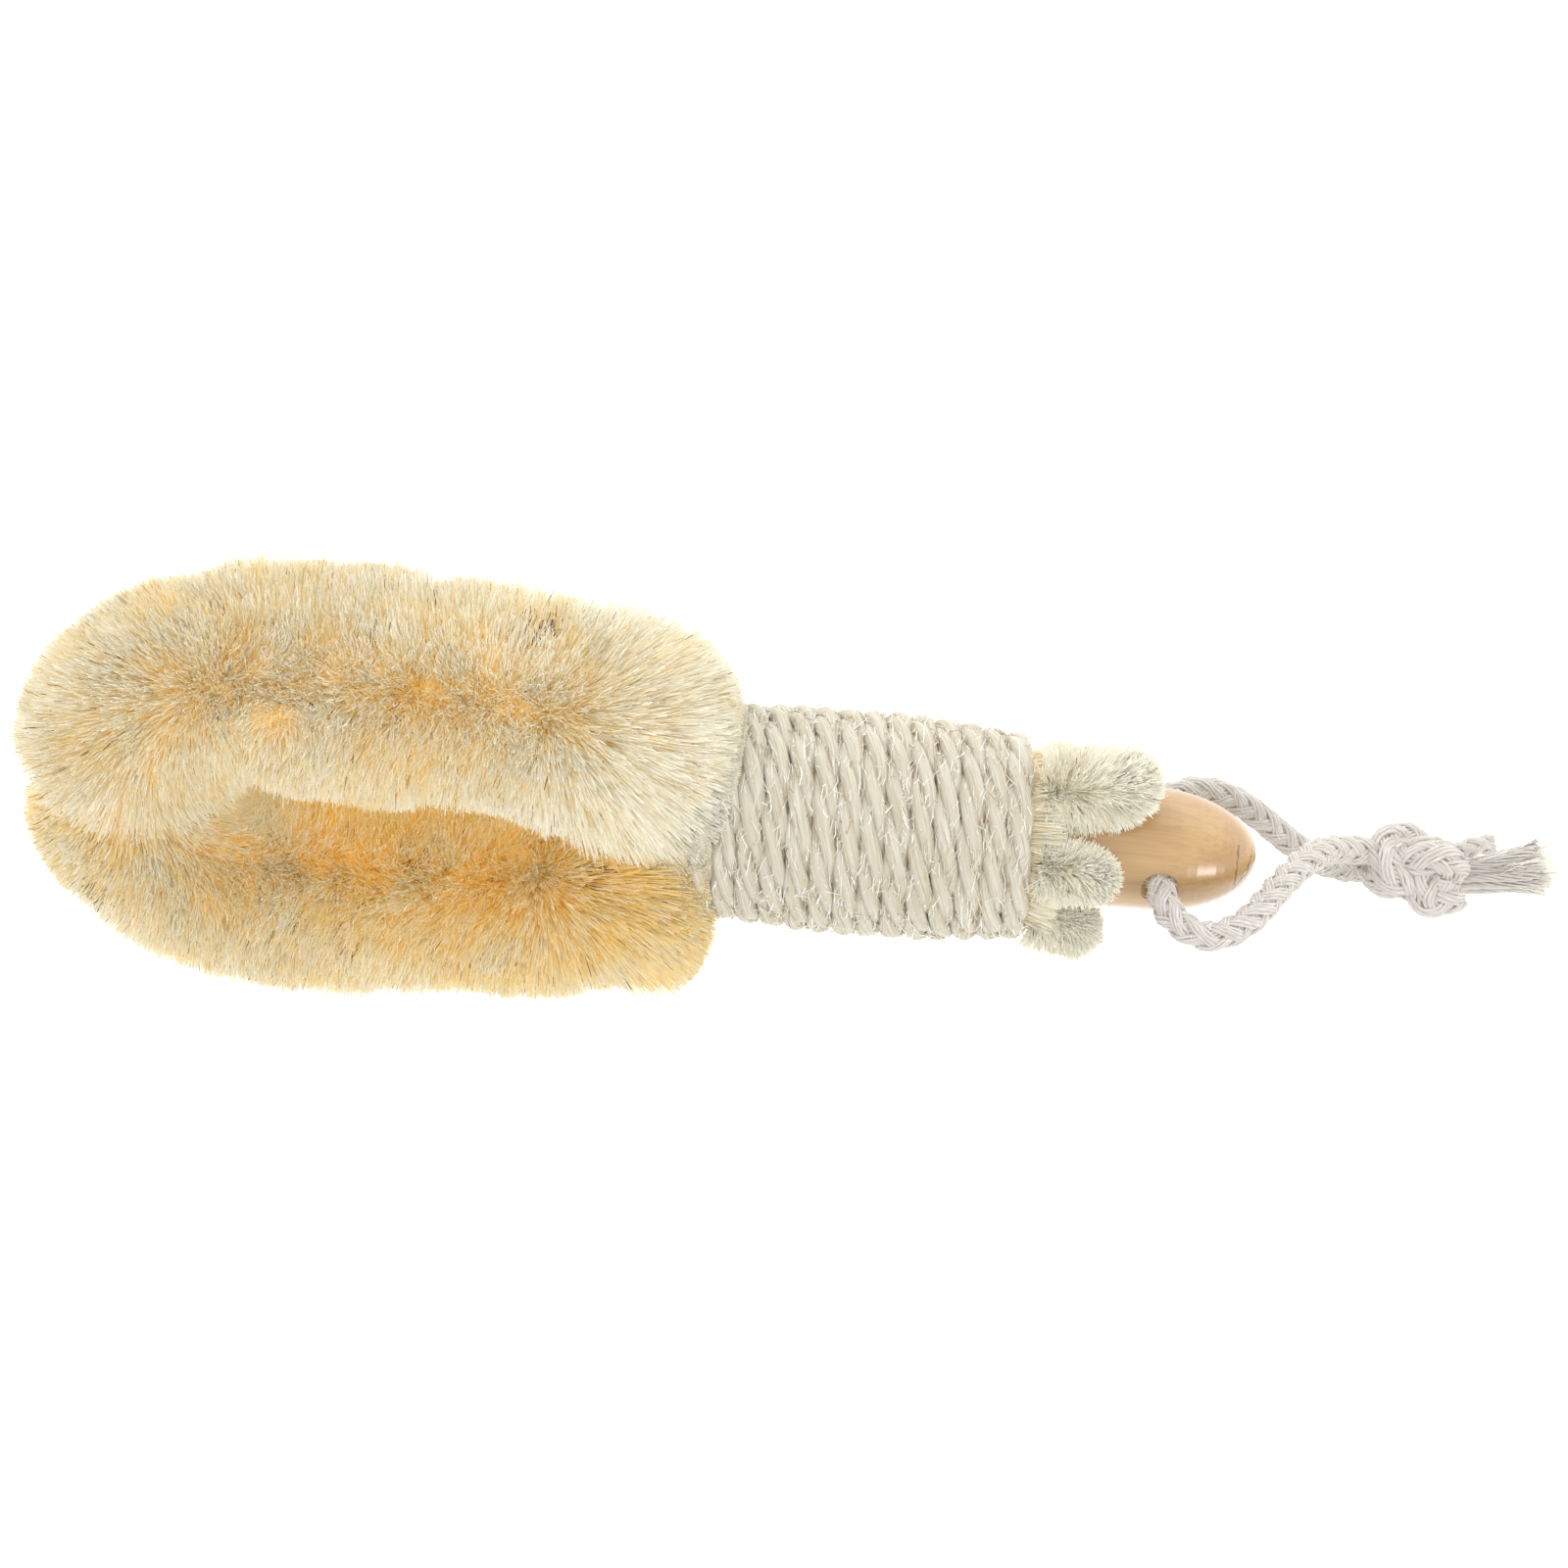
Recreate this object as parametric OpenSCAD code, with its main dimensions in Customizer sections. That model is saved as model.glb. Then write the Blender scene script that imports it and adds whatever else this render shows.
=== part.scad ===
// Body dry brush: two stacked hairpins of twisted-wire bristle rope, bound to a wooden dowel
// with laid rope, and a braided hanging loop through a cross hole in the dowel.
// +X runs along the handle to the hanging loop, +Z is up, the brush lies flat on Z = 0.
// Lengths are in millimetres.

/* [Handle] */
// Diameter of the wooden dowel
dowel_d = 32; // [28:1:33]
// Distance from the middle of the brush to the dowel's rounded tip
dowel_reach = 161; // [155:1:165]
// Length of the rounded end
dome_len = 27; // [18:1:30]
// Diameter of the cross hole for the hanging cord
hole_d = 10; // [9.5:0.5:11]
// Distance from the dowel's tip to the axis of the cross hole
hole_inset = 25; // [23:1:26]

/* [Brush head] */
// Distance from the middle of the brush to the bristle tips at the loop's end
head_reach = 161; // [155:1:165]
// Distance between the two legs of a hairpin, from stem to stem
leg_spacing = 62; // [58:1:66]
// Radius that the bristles are trimmed to
bristle_r = 32; // [31:0.5:34]
// Height of the handle's axis above the surface that the brush lies on
axis_h = 30.5; // [29:0.5:30.5]
// Distance of each hairpin's stem above or below the handle's axis
stem_lift = 7; // [5:0.5:9]
// Where the bristles end against the binding
bristle_end_x = 13; // [11:0.5:13]

/* [Stem wires] */
// Diameter of one wire
wire_d = 1.2; // [1:0.1:1.3]
// Length of one full twist of the two wires
wire_pitch = 24; // [22:1:30]

/* [Binding rope] */
// Diameter of the rope
rope_d = 6; // [5.8:0.1:6]
// Distance from one turn to the next
rope_pitch = 6.15; // [6.15:0.05:6.4]
// Number of turns
rope_turns = 13.7; // [12:0.1:13.8]
// Outer radius of the binding where it starts at the head
grip_r_head = 26.5; // [26.5:0.5:29]
// Outer radius of the binding at its thickest
grip_r_mid = 29; // [29:0.5:30]
// Outer radius of the binding at the tail
grip_r_tail = 25.4; // [25.4:0.1:27]

/* [Tail tufts] */
// Length of each tuft past the binding: upper right, upper left, lower right, lower left
tuft_lengths = [22, 20, 31, 24]; // [18:1:32]
// Radius of each tuft at its open end, in the same order
tuft_radii = [9, 10, 12, 9]; // [7:0.5:12]

/* [Hanging cord] */
// Diameter of the braided cord
cord_d = 8; // [7:0.5:8]
// Length and thickness of the knot
knot_size = [27, 24]; // [22:1:27]

/* [Hidden] */

wood = "#DDB27C";
steel = "#A8A8A4";
bristle = "#EAD3A0";
bristle_deep = "#DDB878";
sisal = "#DDD3B8";
cotton = "#E4DCCF";

gap = 0.15;
dowel_r = dowel_d / 2;
dowel_start_x = bristle_end_x + 2;
hole_x = dowel_reach - hole_inset;
bend_r = leg_spacing / 2;
bend_x = bristle_r + bend_r - head_reach;
taper_x = -40;
end_round_x = bristle_end_x - 12;
end_round = 14;
end_slim = 0.1;
slim_run = 60;
leg_end_y = 19;
arc_step = 15;
leg_step = 12;
leg_gap_y = 0.4;
bend_eye_r = 2;
wire_r = wire_d / 2;
twist_r = wire_r + 0.05;
seat_r = dowel_r + 2 * wire_r + 0.3;
wire_sides = 6;
wire_step = wire_pitch / 6;

rope_r = rope_d / 2;
rope_steps = 18;
rope_sides = 8;
rope_start_x = bristle_end_x + 1.5 + rope_r;
rope_end_x = rope_start_x + rope_pitch * rope_turns;
grip_start_x = bristle_end_x + 1;
grip_end_x = rope_end_x + rope_r;
grip_mid_x = (grip_start_x + grip_end_x) / 2;
grip_fibre_clear = rope_d + 0.5;
tuft_start_x = grip_end_x + 0.3;
tuft_root_r = 3.5;
tuft_lean = 10;
// Share of each tuft that the stem wires reach into.
tuft_wire_share = 0.6;
tuft_clear_r = dowel_r + 0.3;
cut = 10;

// Angle round the handle of each leg's stem where it enters the binding, from +Y towards +Z:
// upper right, upper left, lower right, lower left.
seat_angles = [58, 128, -6, 212];
// The stems drift round the dowel by this angle along the binding.
seat_drift = 14;
// Edges between the upper and the lower hairpin's fibres, round the dowel.
sector_low = 28;
sector_high = 172;

half_arc = [for (a = [0:arc_step:180]) a];
half_arc_back = [for (a = [180:-arc_step:0]) a];
cord_r = cord_d / 2;
cord_sides = 10;
knot_centre = [205.5, -14, 12.5];
frayed_start = [214, -20.5, 8];
frayed_turn = 15;
frayed_len = 28;
fray_flare = 3;
short_start = [213, -10, 12];
short_len = 13;

// Route of the cord from the middle of the hole up, over the crossing and into the knot.
route_over = [
    [136, 0, 30.5], [136, 0, 36], [136, 0, 42], [136.3, -0.2, 47.5], [138, -0.8, 53], [141, -1.5, 57],
    [145.5, -2.2, 59.5], [150.5, -2.7, 59], [155, -2.8, 56], [159, -2.5, 52], [162.5, -2, 47],
    [165.5, -1.5, 42], [168.5, -1.2, 37], [171.5, -1.5, 32], [174.5, -2, 27.5], [178, -3.5, 22.5],
    [181.5, -5.5, 18], [185.5, -7.5, 15], [190, -9, 13], [195, -9.5, 12.5], [199, -10, 12.5]
];
// Route from the middle of the hole down, under the crossing and into the knot.
route_under = [
    [136, 0, 30.5], [136, 0, 25], [136, 0, 20], [136.5, -0.2, 14.5], [138.5, -0.5, 9.5], [142, -0.8, 6],
    [147, -1, 4.2], [152, -1.5, 4], [157, -3.5, 4], [161.5, -6.5, 4], [166, -10, 4], [170.5, -14, 4],
    [175, -17.5, 4], [179.5, -20.5, 4], [184.5, -22, 4.5], [189.5, -21.5, 6], [195, -19.5, 8],
    [199, -18, 9]
];

function unit(v) = v / norm(v);
function mix(a, b, t) = a + (b - a) * t;
function ease(t) = let(c = min(1, max(0, t))) c * c * (3 - 2 * c);

// Faces of a skin over closed rings of n points, first ring to last, with flat ends.
function skin_faces(rings, n) = concat(
    [[for (i = [0:n - 1]) i]],
    [for (k = [0:rings - 2], i = [0:n - 1], f = [0, 1])
        let(a = k * n + i, b = k * n + (i + 1) % n)
        f == 0 ? [a, a + n, b] : [b, a + n, b + n]],
    [[for (i = [n - 1:-1:0]) (rings - 1) * n + i]]
);

module skin(rings) {
    n = len(rings[0]);
    polyhedron(points = [for (r = rings) each r], faces = skin_faces(len(rings), n), convexity = 8);
}

// Direction of a path at its point i.
function heading(path, i) = unit(path[min(i + 1, len(path) - 1)] - path[max(i - 1, 0)]);

// Ring of points round a path's point, square to the path.
function path_ring(path, i, r, n, side) = let(
    t = heading(path, i),
    u = unit(cross(side, t)),
    v = cross(t, u)
) [for (k = [0:n - 1]) path[i] + r * (cos(360 * k / n) * u + sin(360 * k / n) * v)];

// ---- Handle ----

module handle_dowel() {
    straight_end_x = dowel_reach - dome_len;
    profile = concat(
        [[0, dowel_start_x], [dowel_r - 1, dowel_start_x], [dowel_r, dowel_start_x + 1]],
        [for (a = [0:6:84]) [dowel_r * cos(a), straight_end_x + dome_len * sin(a)]],
        [[0, dowel_reach]]
    );
    color(wood) difference() {
        translate([0, 0, axis_h]) rotate([0, 90, 0]) rotate_extrude($fn = 72) polygon(profile);
        translate([hole_x, 0, 0]) cylinder(h = 2 * axis_h, d = hole_d, $fn = 48);
    }
}

// ---- Stems ----

// Where leg k's stem runs at x: straight in the head, then round to its seat on the dowel.
function leg_side(k) = k % 2 == 0 ? 1 : -1;
function leg_lift(k) = k < 2 ? stem_lift : -stem_lift;
function seat_angle(k, x) = seat_angles[k]
    + seat_drift * ease((x - grip_start_x) / (grip_end_x - grip_start_x));
function stem_point(k, x) = let(
    t = ease((x - taper_x) / (grip_start_x - taper_x)),
    a = seat_angle(k, x),
    y = mix(leg_side(k) * bend_r, seat_r * cos(a), t),
    z = mix(leg_lift(k), seat_r * sin(a), t)
) [x, y, z + axis_h];

// One hairpin's stem: down leg k, round the bend and up leg k + 1.
function stem_path(k) = let(
    reach_right = tuft_start_x + tuft_lengths[k] * tuft_wire_share,
    reach_left = tuft_start_x + tuft_lengths[k + 1] * tuft_wire_share,
    bend_step = 180 / round(PI * bend_r / wire_step)
) concat(
    [for (x = [reach_right:-wire_step:bend_x + wire_step / 2]) stem_point(k, x)],
    [for (a = [90:bend_step:270.01])
        [bend_x + bend_r * cos(a), bend_r * sin(a), axis_h + leg_lift(k)]],
    [for (x = [bend_x + wire_step:wire_step:reach_left]) stem_point(k + 1, x)]
);

// One of the two wires that are twisted together, starting at the given phase.
function wire_path(stem, phase) = [for (i = [0:len(stem) - 1]) let(
    t = heading(stem, i),
    u = unit(cross([0, 0, 1], t)),
    v = cross(t, u),
    a = phase + 60 * i
) stem[i] + twist_r * (cos(a) * u + sin(a) * v)];

module stem_wire(k, phase) {
    stem = stem_path(k);
    path = wire_path(stem, phase);
    color(steel) skin([for (i = [0:len(path) - 1]) path_ring(path, i, wire_r, wire_sides, [0, 0, 1])]);
}

// ---- Bristles ----

// Height of a point above the surface, half a gap off the parting plane and never below Z = 0.
function half_z(up, h) = up ? axis_h + gap + h : max(0, axis_h - gap - h);

// Middle line and radius of a leg's bristles at x.
function leg_y(x) = mix(bend_r, leg_end_y, ease((x - taper_x) / (grip_start_x - taper_x)));
function leg_r(x) = bristle_r * (1 - end_slim * ease((x - taper_x) / slim_run))
    * sqrt(1 - pow(max(0, x - end_round_x) / end_round, 2));

function leg_ring(up, x) = [for (a = up ? half_arc : half_arc_back)
    [x, max(leg_gap_y, leg_y(x) + leg_r(x) * cos(a)), half_z(up, leg_r(x) * sin(a))]];

module leg_bristles(up, side) {
    stations = concat(
        [for (x = [bend_x + gap:leg_step:end_round_x - 4]) x],
        [for (d = [12, 8, 4, 2, 0]) bristle_end_x - d]
    );
    color(up ? bristle : bristle_deep)
        mirror([0, side < 0 ? 1 : 0, 0]) skin([for (x = stations) leg_ring(up, x)]);
}

// Half ring of bristles at angle a round the bend; none grow into the bend's own centre.
function bend_ring(up, a) = [for (b = up ? half_arc : half_arc_back) let(
    r = max(bend_eye_r, bend_r + bristle_r * cos(b))
) [bend_x + r * cos(a), r * sin(a), half_z(up, bristle_r * sin(b))]];

module bend_bristles(up) {
    color(up ? bristle : bristle_deep) skin([for (a = [270:-arc_step:90]) bend_ring(up, a)]);
}

// ---- Fibres under the binding and past it ----

// Outer radius of the binding at x.
function grip_r(x) = x < grip_mid_x
    ? grip_r_mid - (grip_r_mid - grip_r_head) * pow((grip_mid_x - x) / (grip_mid_x - grip_start_x), 2)
    : grip_r_mid - (grip_r_mid - grip_r_tail) * pow((x - grip_mid_x) / (grip_end_x - grip_mid_x), 2);

// Fibres pressed between the dowel and the rope, over a sector round the handle.
module gripped_fibres(from, to) {
    clear_r = dowel_r + gap;
    profile = concat(
        [[clear_r, grip_start_x]],
        [for (i = [0:8]) let(x = mix(grip_start_x, grip_end_x, i / 8)) [grip_r(x) - grip_fibre_clear, x]],
        [[clear_r, grip_end_x]]
    );
    color(bristle_deep) translate([0, 0, axis_h]) rotate([0, 90, 0]) rotate([0, 0, from + 90])
        rotate_extrude(angle = to - from, $fn = 60) polygon(profile);
}

// The fanned end of leg k's fibres, which opens outward past the last turn of rope.
module tail_tuft(k) {
    a = seat_angle(k, grip_end_x);
    l = tuft_lengths[k];
    r = tuft_radii[k];
    profile = [[0, 0], [tuft_root_r, 0], [0.72 * r, 0.35 * l], [r, 0.75 * l], [0.9 * r, 0.93 * l],
        [0.55 * r, l], [0, l]];
    color(bristle) difference() {
        translate([tuft_start_x, seat_r * cos(a), axis_h + seat_r * sin(a)])
            rotate([a, 0, 0]) rotate([0, 90, tuft_lean]) rotate_extrude($fn = 48) polygon(profile);
        translate([tuft_start_x - cut, 0, axis_h]) rotate([0, 90, 0])
            cylinder(h = 6 * cut, r = tuft_clear_r, $fn = 72);
        translate([tuft_start_x - cut, -6 * cut, 0]) cube([cut, 12 * cut, 8 * cut]);
    }
}

// ---- Binding ----

function rope_centre(i) = let(
    a = 360 * i / rope_steps,
    x = rope_start_x + rope_pitch * i / rope_steps,
    r = grip_r(x) - rope_r
) [x, r * cos(a), axis_h + r * sin(a)];

module binding_rope() {
    path = [for (i = [0:rope_turns * rope_steps]) rope_centre(i)];
    color(sisal) skin([for (i = [0:len(path) - 1]) path_ring(path, i, rope_r, rope_sides, [1, 0, 0])]);
}

// ---- Hanging cord ----

module cord_half(route, side) {
    color(cotton) skin([for (i = [0:len(route) - 1]) path_ring(route, i, cord_r, cord_sides, side)]);
}

// Solid of revolution along X from a list of [radius, distance] points.
module lengthwise(profile) {
    rotate([0, 90, 0]) rotate_extrude($fn = 40) polygon(profile);
}

module cord_knot() {
    half = knot_size[0] / 2;
    r = knot_size[1] / 2;
    profile = [for (a = [-90:15:90]) [r * cos(a), half * sin(a)]];
    color(cotton) translate(knot_centre) lengthwise(profile);
}

module cord_end_frayed() {
    color(cotton) translate(frayed_start) rotate([0, 0, frayed_turn])
        lengthwise([[0, 0], [cord_r, 0], [cord_r, 0.3 * frayed_len],
            [cord_r + fray_flare / 2, 0.65 * frayed_len], [cord_r + fray_flare, frayed_len],
            [0, frayed_len]]);
}

module cord_end_short() {
    color(cotton) translate(short_start)
        lengthwise([[0, 0], [cord_r, 0], [cord_r, short_len - 2], [cord_r - 1, short_len], [0, short_len]]);
}

handle_dowel();
binding_rope();
stem_wire(0, 0);  // upper_wire_a
stem_wire(0, 180);  // upper_wire_b
stem_wire(2, 0);  // lower_wire_a
stem_wire(2, 180);  // lower_wire_b
leg_bristles(true, 1);  // upper_bristles_right
bend_bristles(true);  // upper_bristles_tip
leg_bristles(true, -1);  // upper_bristles_left
leg_bristles(false, 1);  // lower_bristles_right
bend_bristles(false);  // lower_bristles_tip
leg_bristles(false, -1);  // lower_bristles_left
gripped_fibres(sector_low + 0.5, sector_high - 0.5);  // gripped_fibres_upper
gripped_fibres(sector_high + 0.5, sector_low + 359.5);  // gripped_fibres_lower
tail_tuft(0);  // tail_tuft_upper_right
tail_tuft(1);  // tail_tuft_upper_left
tail_tuft(2);  // tail_tuft_lower_right
tail_tuft(3);  // tail_tuft_lower_left
cord_half(route_over, [0, 1, 0]);  // cord_over
cord_half(route_under, [0, 1, 0]);  // cord_under
cord_knot();
cord_end_frayed();
cord_end_short();
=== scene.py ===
"""Looks of the body dry brush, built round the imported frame. Lengths in here are in millimetres
until mesh() writes them in metres."""
import math
from math import pi, radians

import bpy
import numpy as np
from mathutils import Matrix, Vector, kdtree


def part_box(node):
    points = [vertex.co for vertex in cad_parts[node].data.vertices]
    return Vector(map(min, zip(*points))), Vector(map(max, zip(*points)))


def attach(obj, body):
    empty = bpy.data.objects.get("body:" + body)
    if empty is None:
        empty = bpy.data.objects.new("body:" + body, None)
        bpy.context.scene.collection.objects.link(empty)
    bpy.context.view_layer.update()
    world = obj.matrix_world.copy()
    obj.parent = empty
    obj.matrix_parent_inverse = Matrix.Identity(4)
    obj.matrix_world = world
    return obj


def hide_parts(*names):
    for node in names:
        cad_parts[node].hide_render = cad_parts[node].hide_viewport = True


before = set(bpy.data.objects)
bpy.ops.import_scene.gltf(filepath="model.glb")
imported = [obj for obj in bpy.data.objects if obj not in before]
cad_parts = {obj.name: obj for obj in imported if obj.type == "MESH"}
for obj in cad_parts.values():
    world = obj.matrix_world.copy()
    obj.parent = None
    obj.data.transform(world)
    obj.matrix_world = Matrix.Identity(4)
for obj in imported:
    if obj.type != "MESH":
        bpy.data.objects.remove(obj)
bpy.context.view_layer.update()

MM = 0.001
scene = bpy.context.scene
seeded = np.random.default_rng
DENSITY = 3.2  # fibre tips per square millimetre of the trimmed outline


# ---- The frame, in millimetres ----

def node_box(node):
    low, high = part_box(node)
    return np.array(low) / MM, np.array(high) / MM


dowel_low, dowel_high = node_box("handle_dowel")
tip_low, tip_high = node_box("upper_bristles_tip")
leg_low, leg_high = node_box("upper_bristles_right")
rope_low, rope_high = node_box("binding_rope")
knot_low, knot_high = node_box("cord_knot")

DOWEL_R = (dowel_high[1] - dowel_low[1]) / 2
AXIS_Z = (dowel_high[2] + dowel_low[2]) / 2
BRISTLE_R = tip_high[2] - AXIS_Z
BEND_R = tip_high[1] - BRISTLE_R
BEND_X = tip_low[0] + BEND_R + BRISTLE_R
TAPER_X = -40.0  # where the legs begin to close towards the binding
BINDING_X = leg_high[0]  # where the CAD bristles end against the binding
LEG_END_Y = 19.0
ROPE_R = 3.0
ROPE_TURNS = 13.7
ROPE_START_X = rope_low[0] + ROPE_R
ROPE_END_X = rope_high[0] - ROPE_R
KNOT = (knot_low + knot_high) / 2
TABLE_GAP = 0.2  # loose hairs stay this far above the table
GOLDEN_ANGLE = 2.399963
# Body of the pieces of each material, and a slot name.
ROPE = ("brush", "sisal_rope")
BRISTLES = ("brush", "sisal_bristle")
CORD = ("hanging_cord", "cotton_cord")
SEAT_R = DOWEL_R + 1.5  # how far the wires lie from the dowel's axis


# ---- Small mathematics ----

def ease(t):
    c = np.clip(t, 0.0, 1.0)
    return c * c * (3 - 2 * c)


def mix(a, b, t):
    return a + (b - a) * t


def norm(v):
    return np.linalg.norm(v, axis=-1, keepdims=True)


def unit(v):
    return v / np.maximum(norm(v), 1e-9)


def lattice(ix, iy, iz, seed):
    n = (ix * 374761393 + iy * 668265263 + iz * 1274126177 + seed * 974634777) & 0xFFFFFFFF
    n = ((n ^ (n >> 13)) * 1103515245) & 0xFFFFFFFF
    n = ((n ^ (n >> 15)) * 2246822519) & 0xFFFFFFFF
    return ((n ^ (n >> 16)) & 0xFFFF) / 65535.0


def value_noise(points, size, seed):
    """Smooth noise from 0 to 1 whose features are about size across."""
    q = np.asarray(points) / size
    i = np.floor(q).astype(np.int64)
    f = q - i
    f = f * f * (3 - 2 * f)
    total = 0.0
    for dx, dy, dz in np.ndindex(2, 2, 2):
        w = abs(1 - dx - f[:, 0]) * abs(1 - dy - f[:, 1]) * abs(1 - dz - f[:, 2])
        total = total + w * lattice(i[:, 0] + dx, i[:, 1] + dy, i[:, 2] + dz, seed)
    return total


def noise_vectors(points, size, seed):
    """Smooth noise from -0.5 to 0.5 in each direction."""
    return np.column_stack([value_noise(points, size, seed + k) - 0.5 for k in range(3)])


def columns(x, y, z):
    """Points from their coordinates, each of them a grid, a row or one number."""
    return np.stack([c.ravel() for c in np.broadcast_arrays(x, y, z)], axis=1)


def swing(a, u, v):
    """Directions at the angles a from u towards v."""
    return np.cos(a)[:, None] * u + np.sin(a)[:, None] * v


def arc_length(path):
    """How far along the path each of its points lies."""
    return np.concatenate([[0], np.cumsum(np.linalg.norm(np.diff(path, axis=0), axis=1))])


def keep_above(points, low):
    points[:, 2] = np.maximum(points[:, 2], low)


def radial(points):
    """The way to the points from the nearest place on the dowel's axis."""
    return points * [0, 1, 1] - [0, 0, AXIS_Z]


def push_out(points, wall):
    """Moves points nearer the dowel's axis than wall out to it. Returns how near they were."""
    away = radial(points)
    r = np.linalg.norm(away, axis=1)
    points += unit(away) * np.maximum(0, wall - r)[:, None]
    return r


# ---- Meshes ----

def fill(items, field, values, kind=np.float32):
    items.foreach_set(field, np.ascontiguousarray(values, dtype=kind).ravel())


def mesh(name, points, loops, sizes, material, body, slot, uv=None, grain=None, smooth=True):
    """A piece from flat arrays: points in millimetres, vertex numbers of the faces' corners in
    order, and the number of corners of each face. uv is per corner, grain per point."""
    data = bpy.data.meshes.new(name)
    data.vertices.add(len(points))
    data.loops.add(len(loops))
    data.polygons.add(len(sizes))
    fill(data.vertices, "co", points * MM)
    fill(data.loops, "vertex_index", loops, np.int32)
    fill(data.polygons, "loop_start", np.concatenate([[0], np.cumsum(sizes)[:-1]]), np.int32)
    data.update(calc_edges=True)
    fill(data.polygons, "use_smooth", np.full(len(sizes), smooth), bool)
    if uv is not None:
        fill(data.uv_layers.new(name="OFBake").data, "uv", uv)
    if grain is not None:
        fill(data.attributes.new("grain", "FLOAT_VECTOR", "POINT").data, "vector", grain)
    data.validate()
    data.update()
    piece = bpy.data.objects.new(name, data)
    scene.collection.objects.link(piece)
    data.materials.append(material)
    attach(piece, body)
    return piece


SIDES = 3  # of each fibre
TIP_WIDTH = 0.75  # of a fibre, as a share of its width at the root


def tube_faces(rings, sides):
    """Corners of the four-sided faces between rings of points."""
    i, k = np.meshgrid(np.arange(rings - 1), np.arange(sides), indexing="ij")
    k2 = (k + 1) % sides
    return np.stack([i * sides + k, i * sides + k2, (i + 1) * sides + k2, (i + 1) * sides + k], axis=-1).ravel()


def fibres(name, stations, width, tone, material, body, slot, start=0.0):
    """Thin closed prisms, one per fibre. stations is a list of (n, 3) arrays from root to tip,
    width the radius of each fibre, tone its place in the colour ramps from 0 to 1, and start where
    its root is in the ramp along the fibre."""
    n, rings = len(width), len(stations)
    along = np.stack(stations, axis=1)
    axis = unit(along[:, -1] - along[:, 0])
    helper = np.where(np.abs(axis[:, 2:3]) > 0.9, [[1.0, 0, 0]], [[0, 0, 1.0]])
    u = unit(np.cross(axis, helper))
    v = np.cross(axis, u)
    spin = np.arange(n) * GOLDEN_ANGLE
    taper = np.linspace(1.0, TIP_WIDTH, rings)
    points = np.empty((n, rings, SIDES, 3))
    for k in range(SIDES):
        out = swing(spin + 2 * pi * k / SIDES, u, v) * width[:, None]
        points[:, :, k] = along + out[:, None, :] * taper[None, :, None]
    place = [(r + dr, k + dk) for r in range(rings - 1) for k in range(SIDES)
             for dr, dk in ((0, 0), (0, 1), (1, 1), (1, 0))]
    place += [(0, k) for k in range(SIDES - 1, -1, -1)] + [(rings - 1, k) for k in range(SIDES)]
    sizes = [4] * (SIDES * (rings - 1)) + [SIDES, SIDES]
    last = (rings - 1) * SIDES
    face = [*tube_faces(rings, SIDES), *range(SIDES - 1, -1, -1), *range(last, last + SIDES)]
    loops = (np.arange(n)[:, None] * rings * SIDES + np.array(face)[None, :]).ravel()
    place = np.array(place, dtype=float)
    uv = np.empty((n, len(place), 2))
    uv[:, :, 0] = 0.01 + 0.98 * (start + (1 - start) * place[:, 0] / (rings - 1))
    uv[:, :, 1] = 0.01 + 0.975 * np.clip(tone, 0, 1)[:, None] + 0.0015 * place[:, 1]
    return mesh(name, points.reshape(-1, 3), loops, np.tile(sizes, n), material, body, slot,
                uv=uv.reshape(-1, 2), smooth=False)


def transport(path):
    """Tangents and two steady normals along a path of points."""
    t = np.empty_like(path)
    t[1:-1] = path[2:] - path[:-2]
    t[0], t[-1] = path[1] - path[0], path[-1] - path[-2]
    t = unit(t)
    start = np.array([0.0, 1.0, 0.0]) if abs(t[0][1]) < 0.9 else np.array([1.0, 0.0, 0.0])
    u = np.empty_like(path)
    u[0] = unit(start - t[0] * np.dot(start, t[0]))
    for i in range(1, len(path)):
        w = u[i - 1] - t[i] * np.dot(u[i - 1], t[i])
        u[i] = w / np.linalg.norm(w)
    return t, u, np.cross(t, u)


def smooth_path(points, step):
    """The points joined by a Catmull-Rom curve and cut into even steps."""
    p = np.array(points, dtype=float)
    ends = np.vstack([2 * p[0] - p[1], p, 2 * p[-1] - p[-2]])
    fine = []
    for i in range(len(p) - 1):
        a, b, c, d = ends[i:i + 4]
        t = np.linspace(0, 1, 12, endpoint=False)[:, None]
        fine.append(0.5 * (2 * b + (c - a) * t + (2 * a - 5 * b + 4 * c - d) * t * t
                           + (3 * b - a - 3 * c + d) * t ** 3))
    fine = np.vstack(fine + [p[-1:]])
    s = arc_length(fine)
    even = np.linspace(0, s[-1], max(2, int(round(s[-1] / step)) + 1))
    return np.column_stack([np.interp(even, s, fine[:, k]) for k in range(3)]), even


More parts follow.
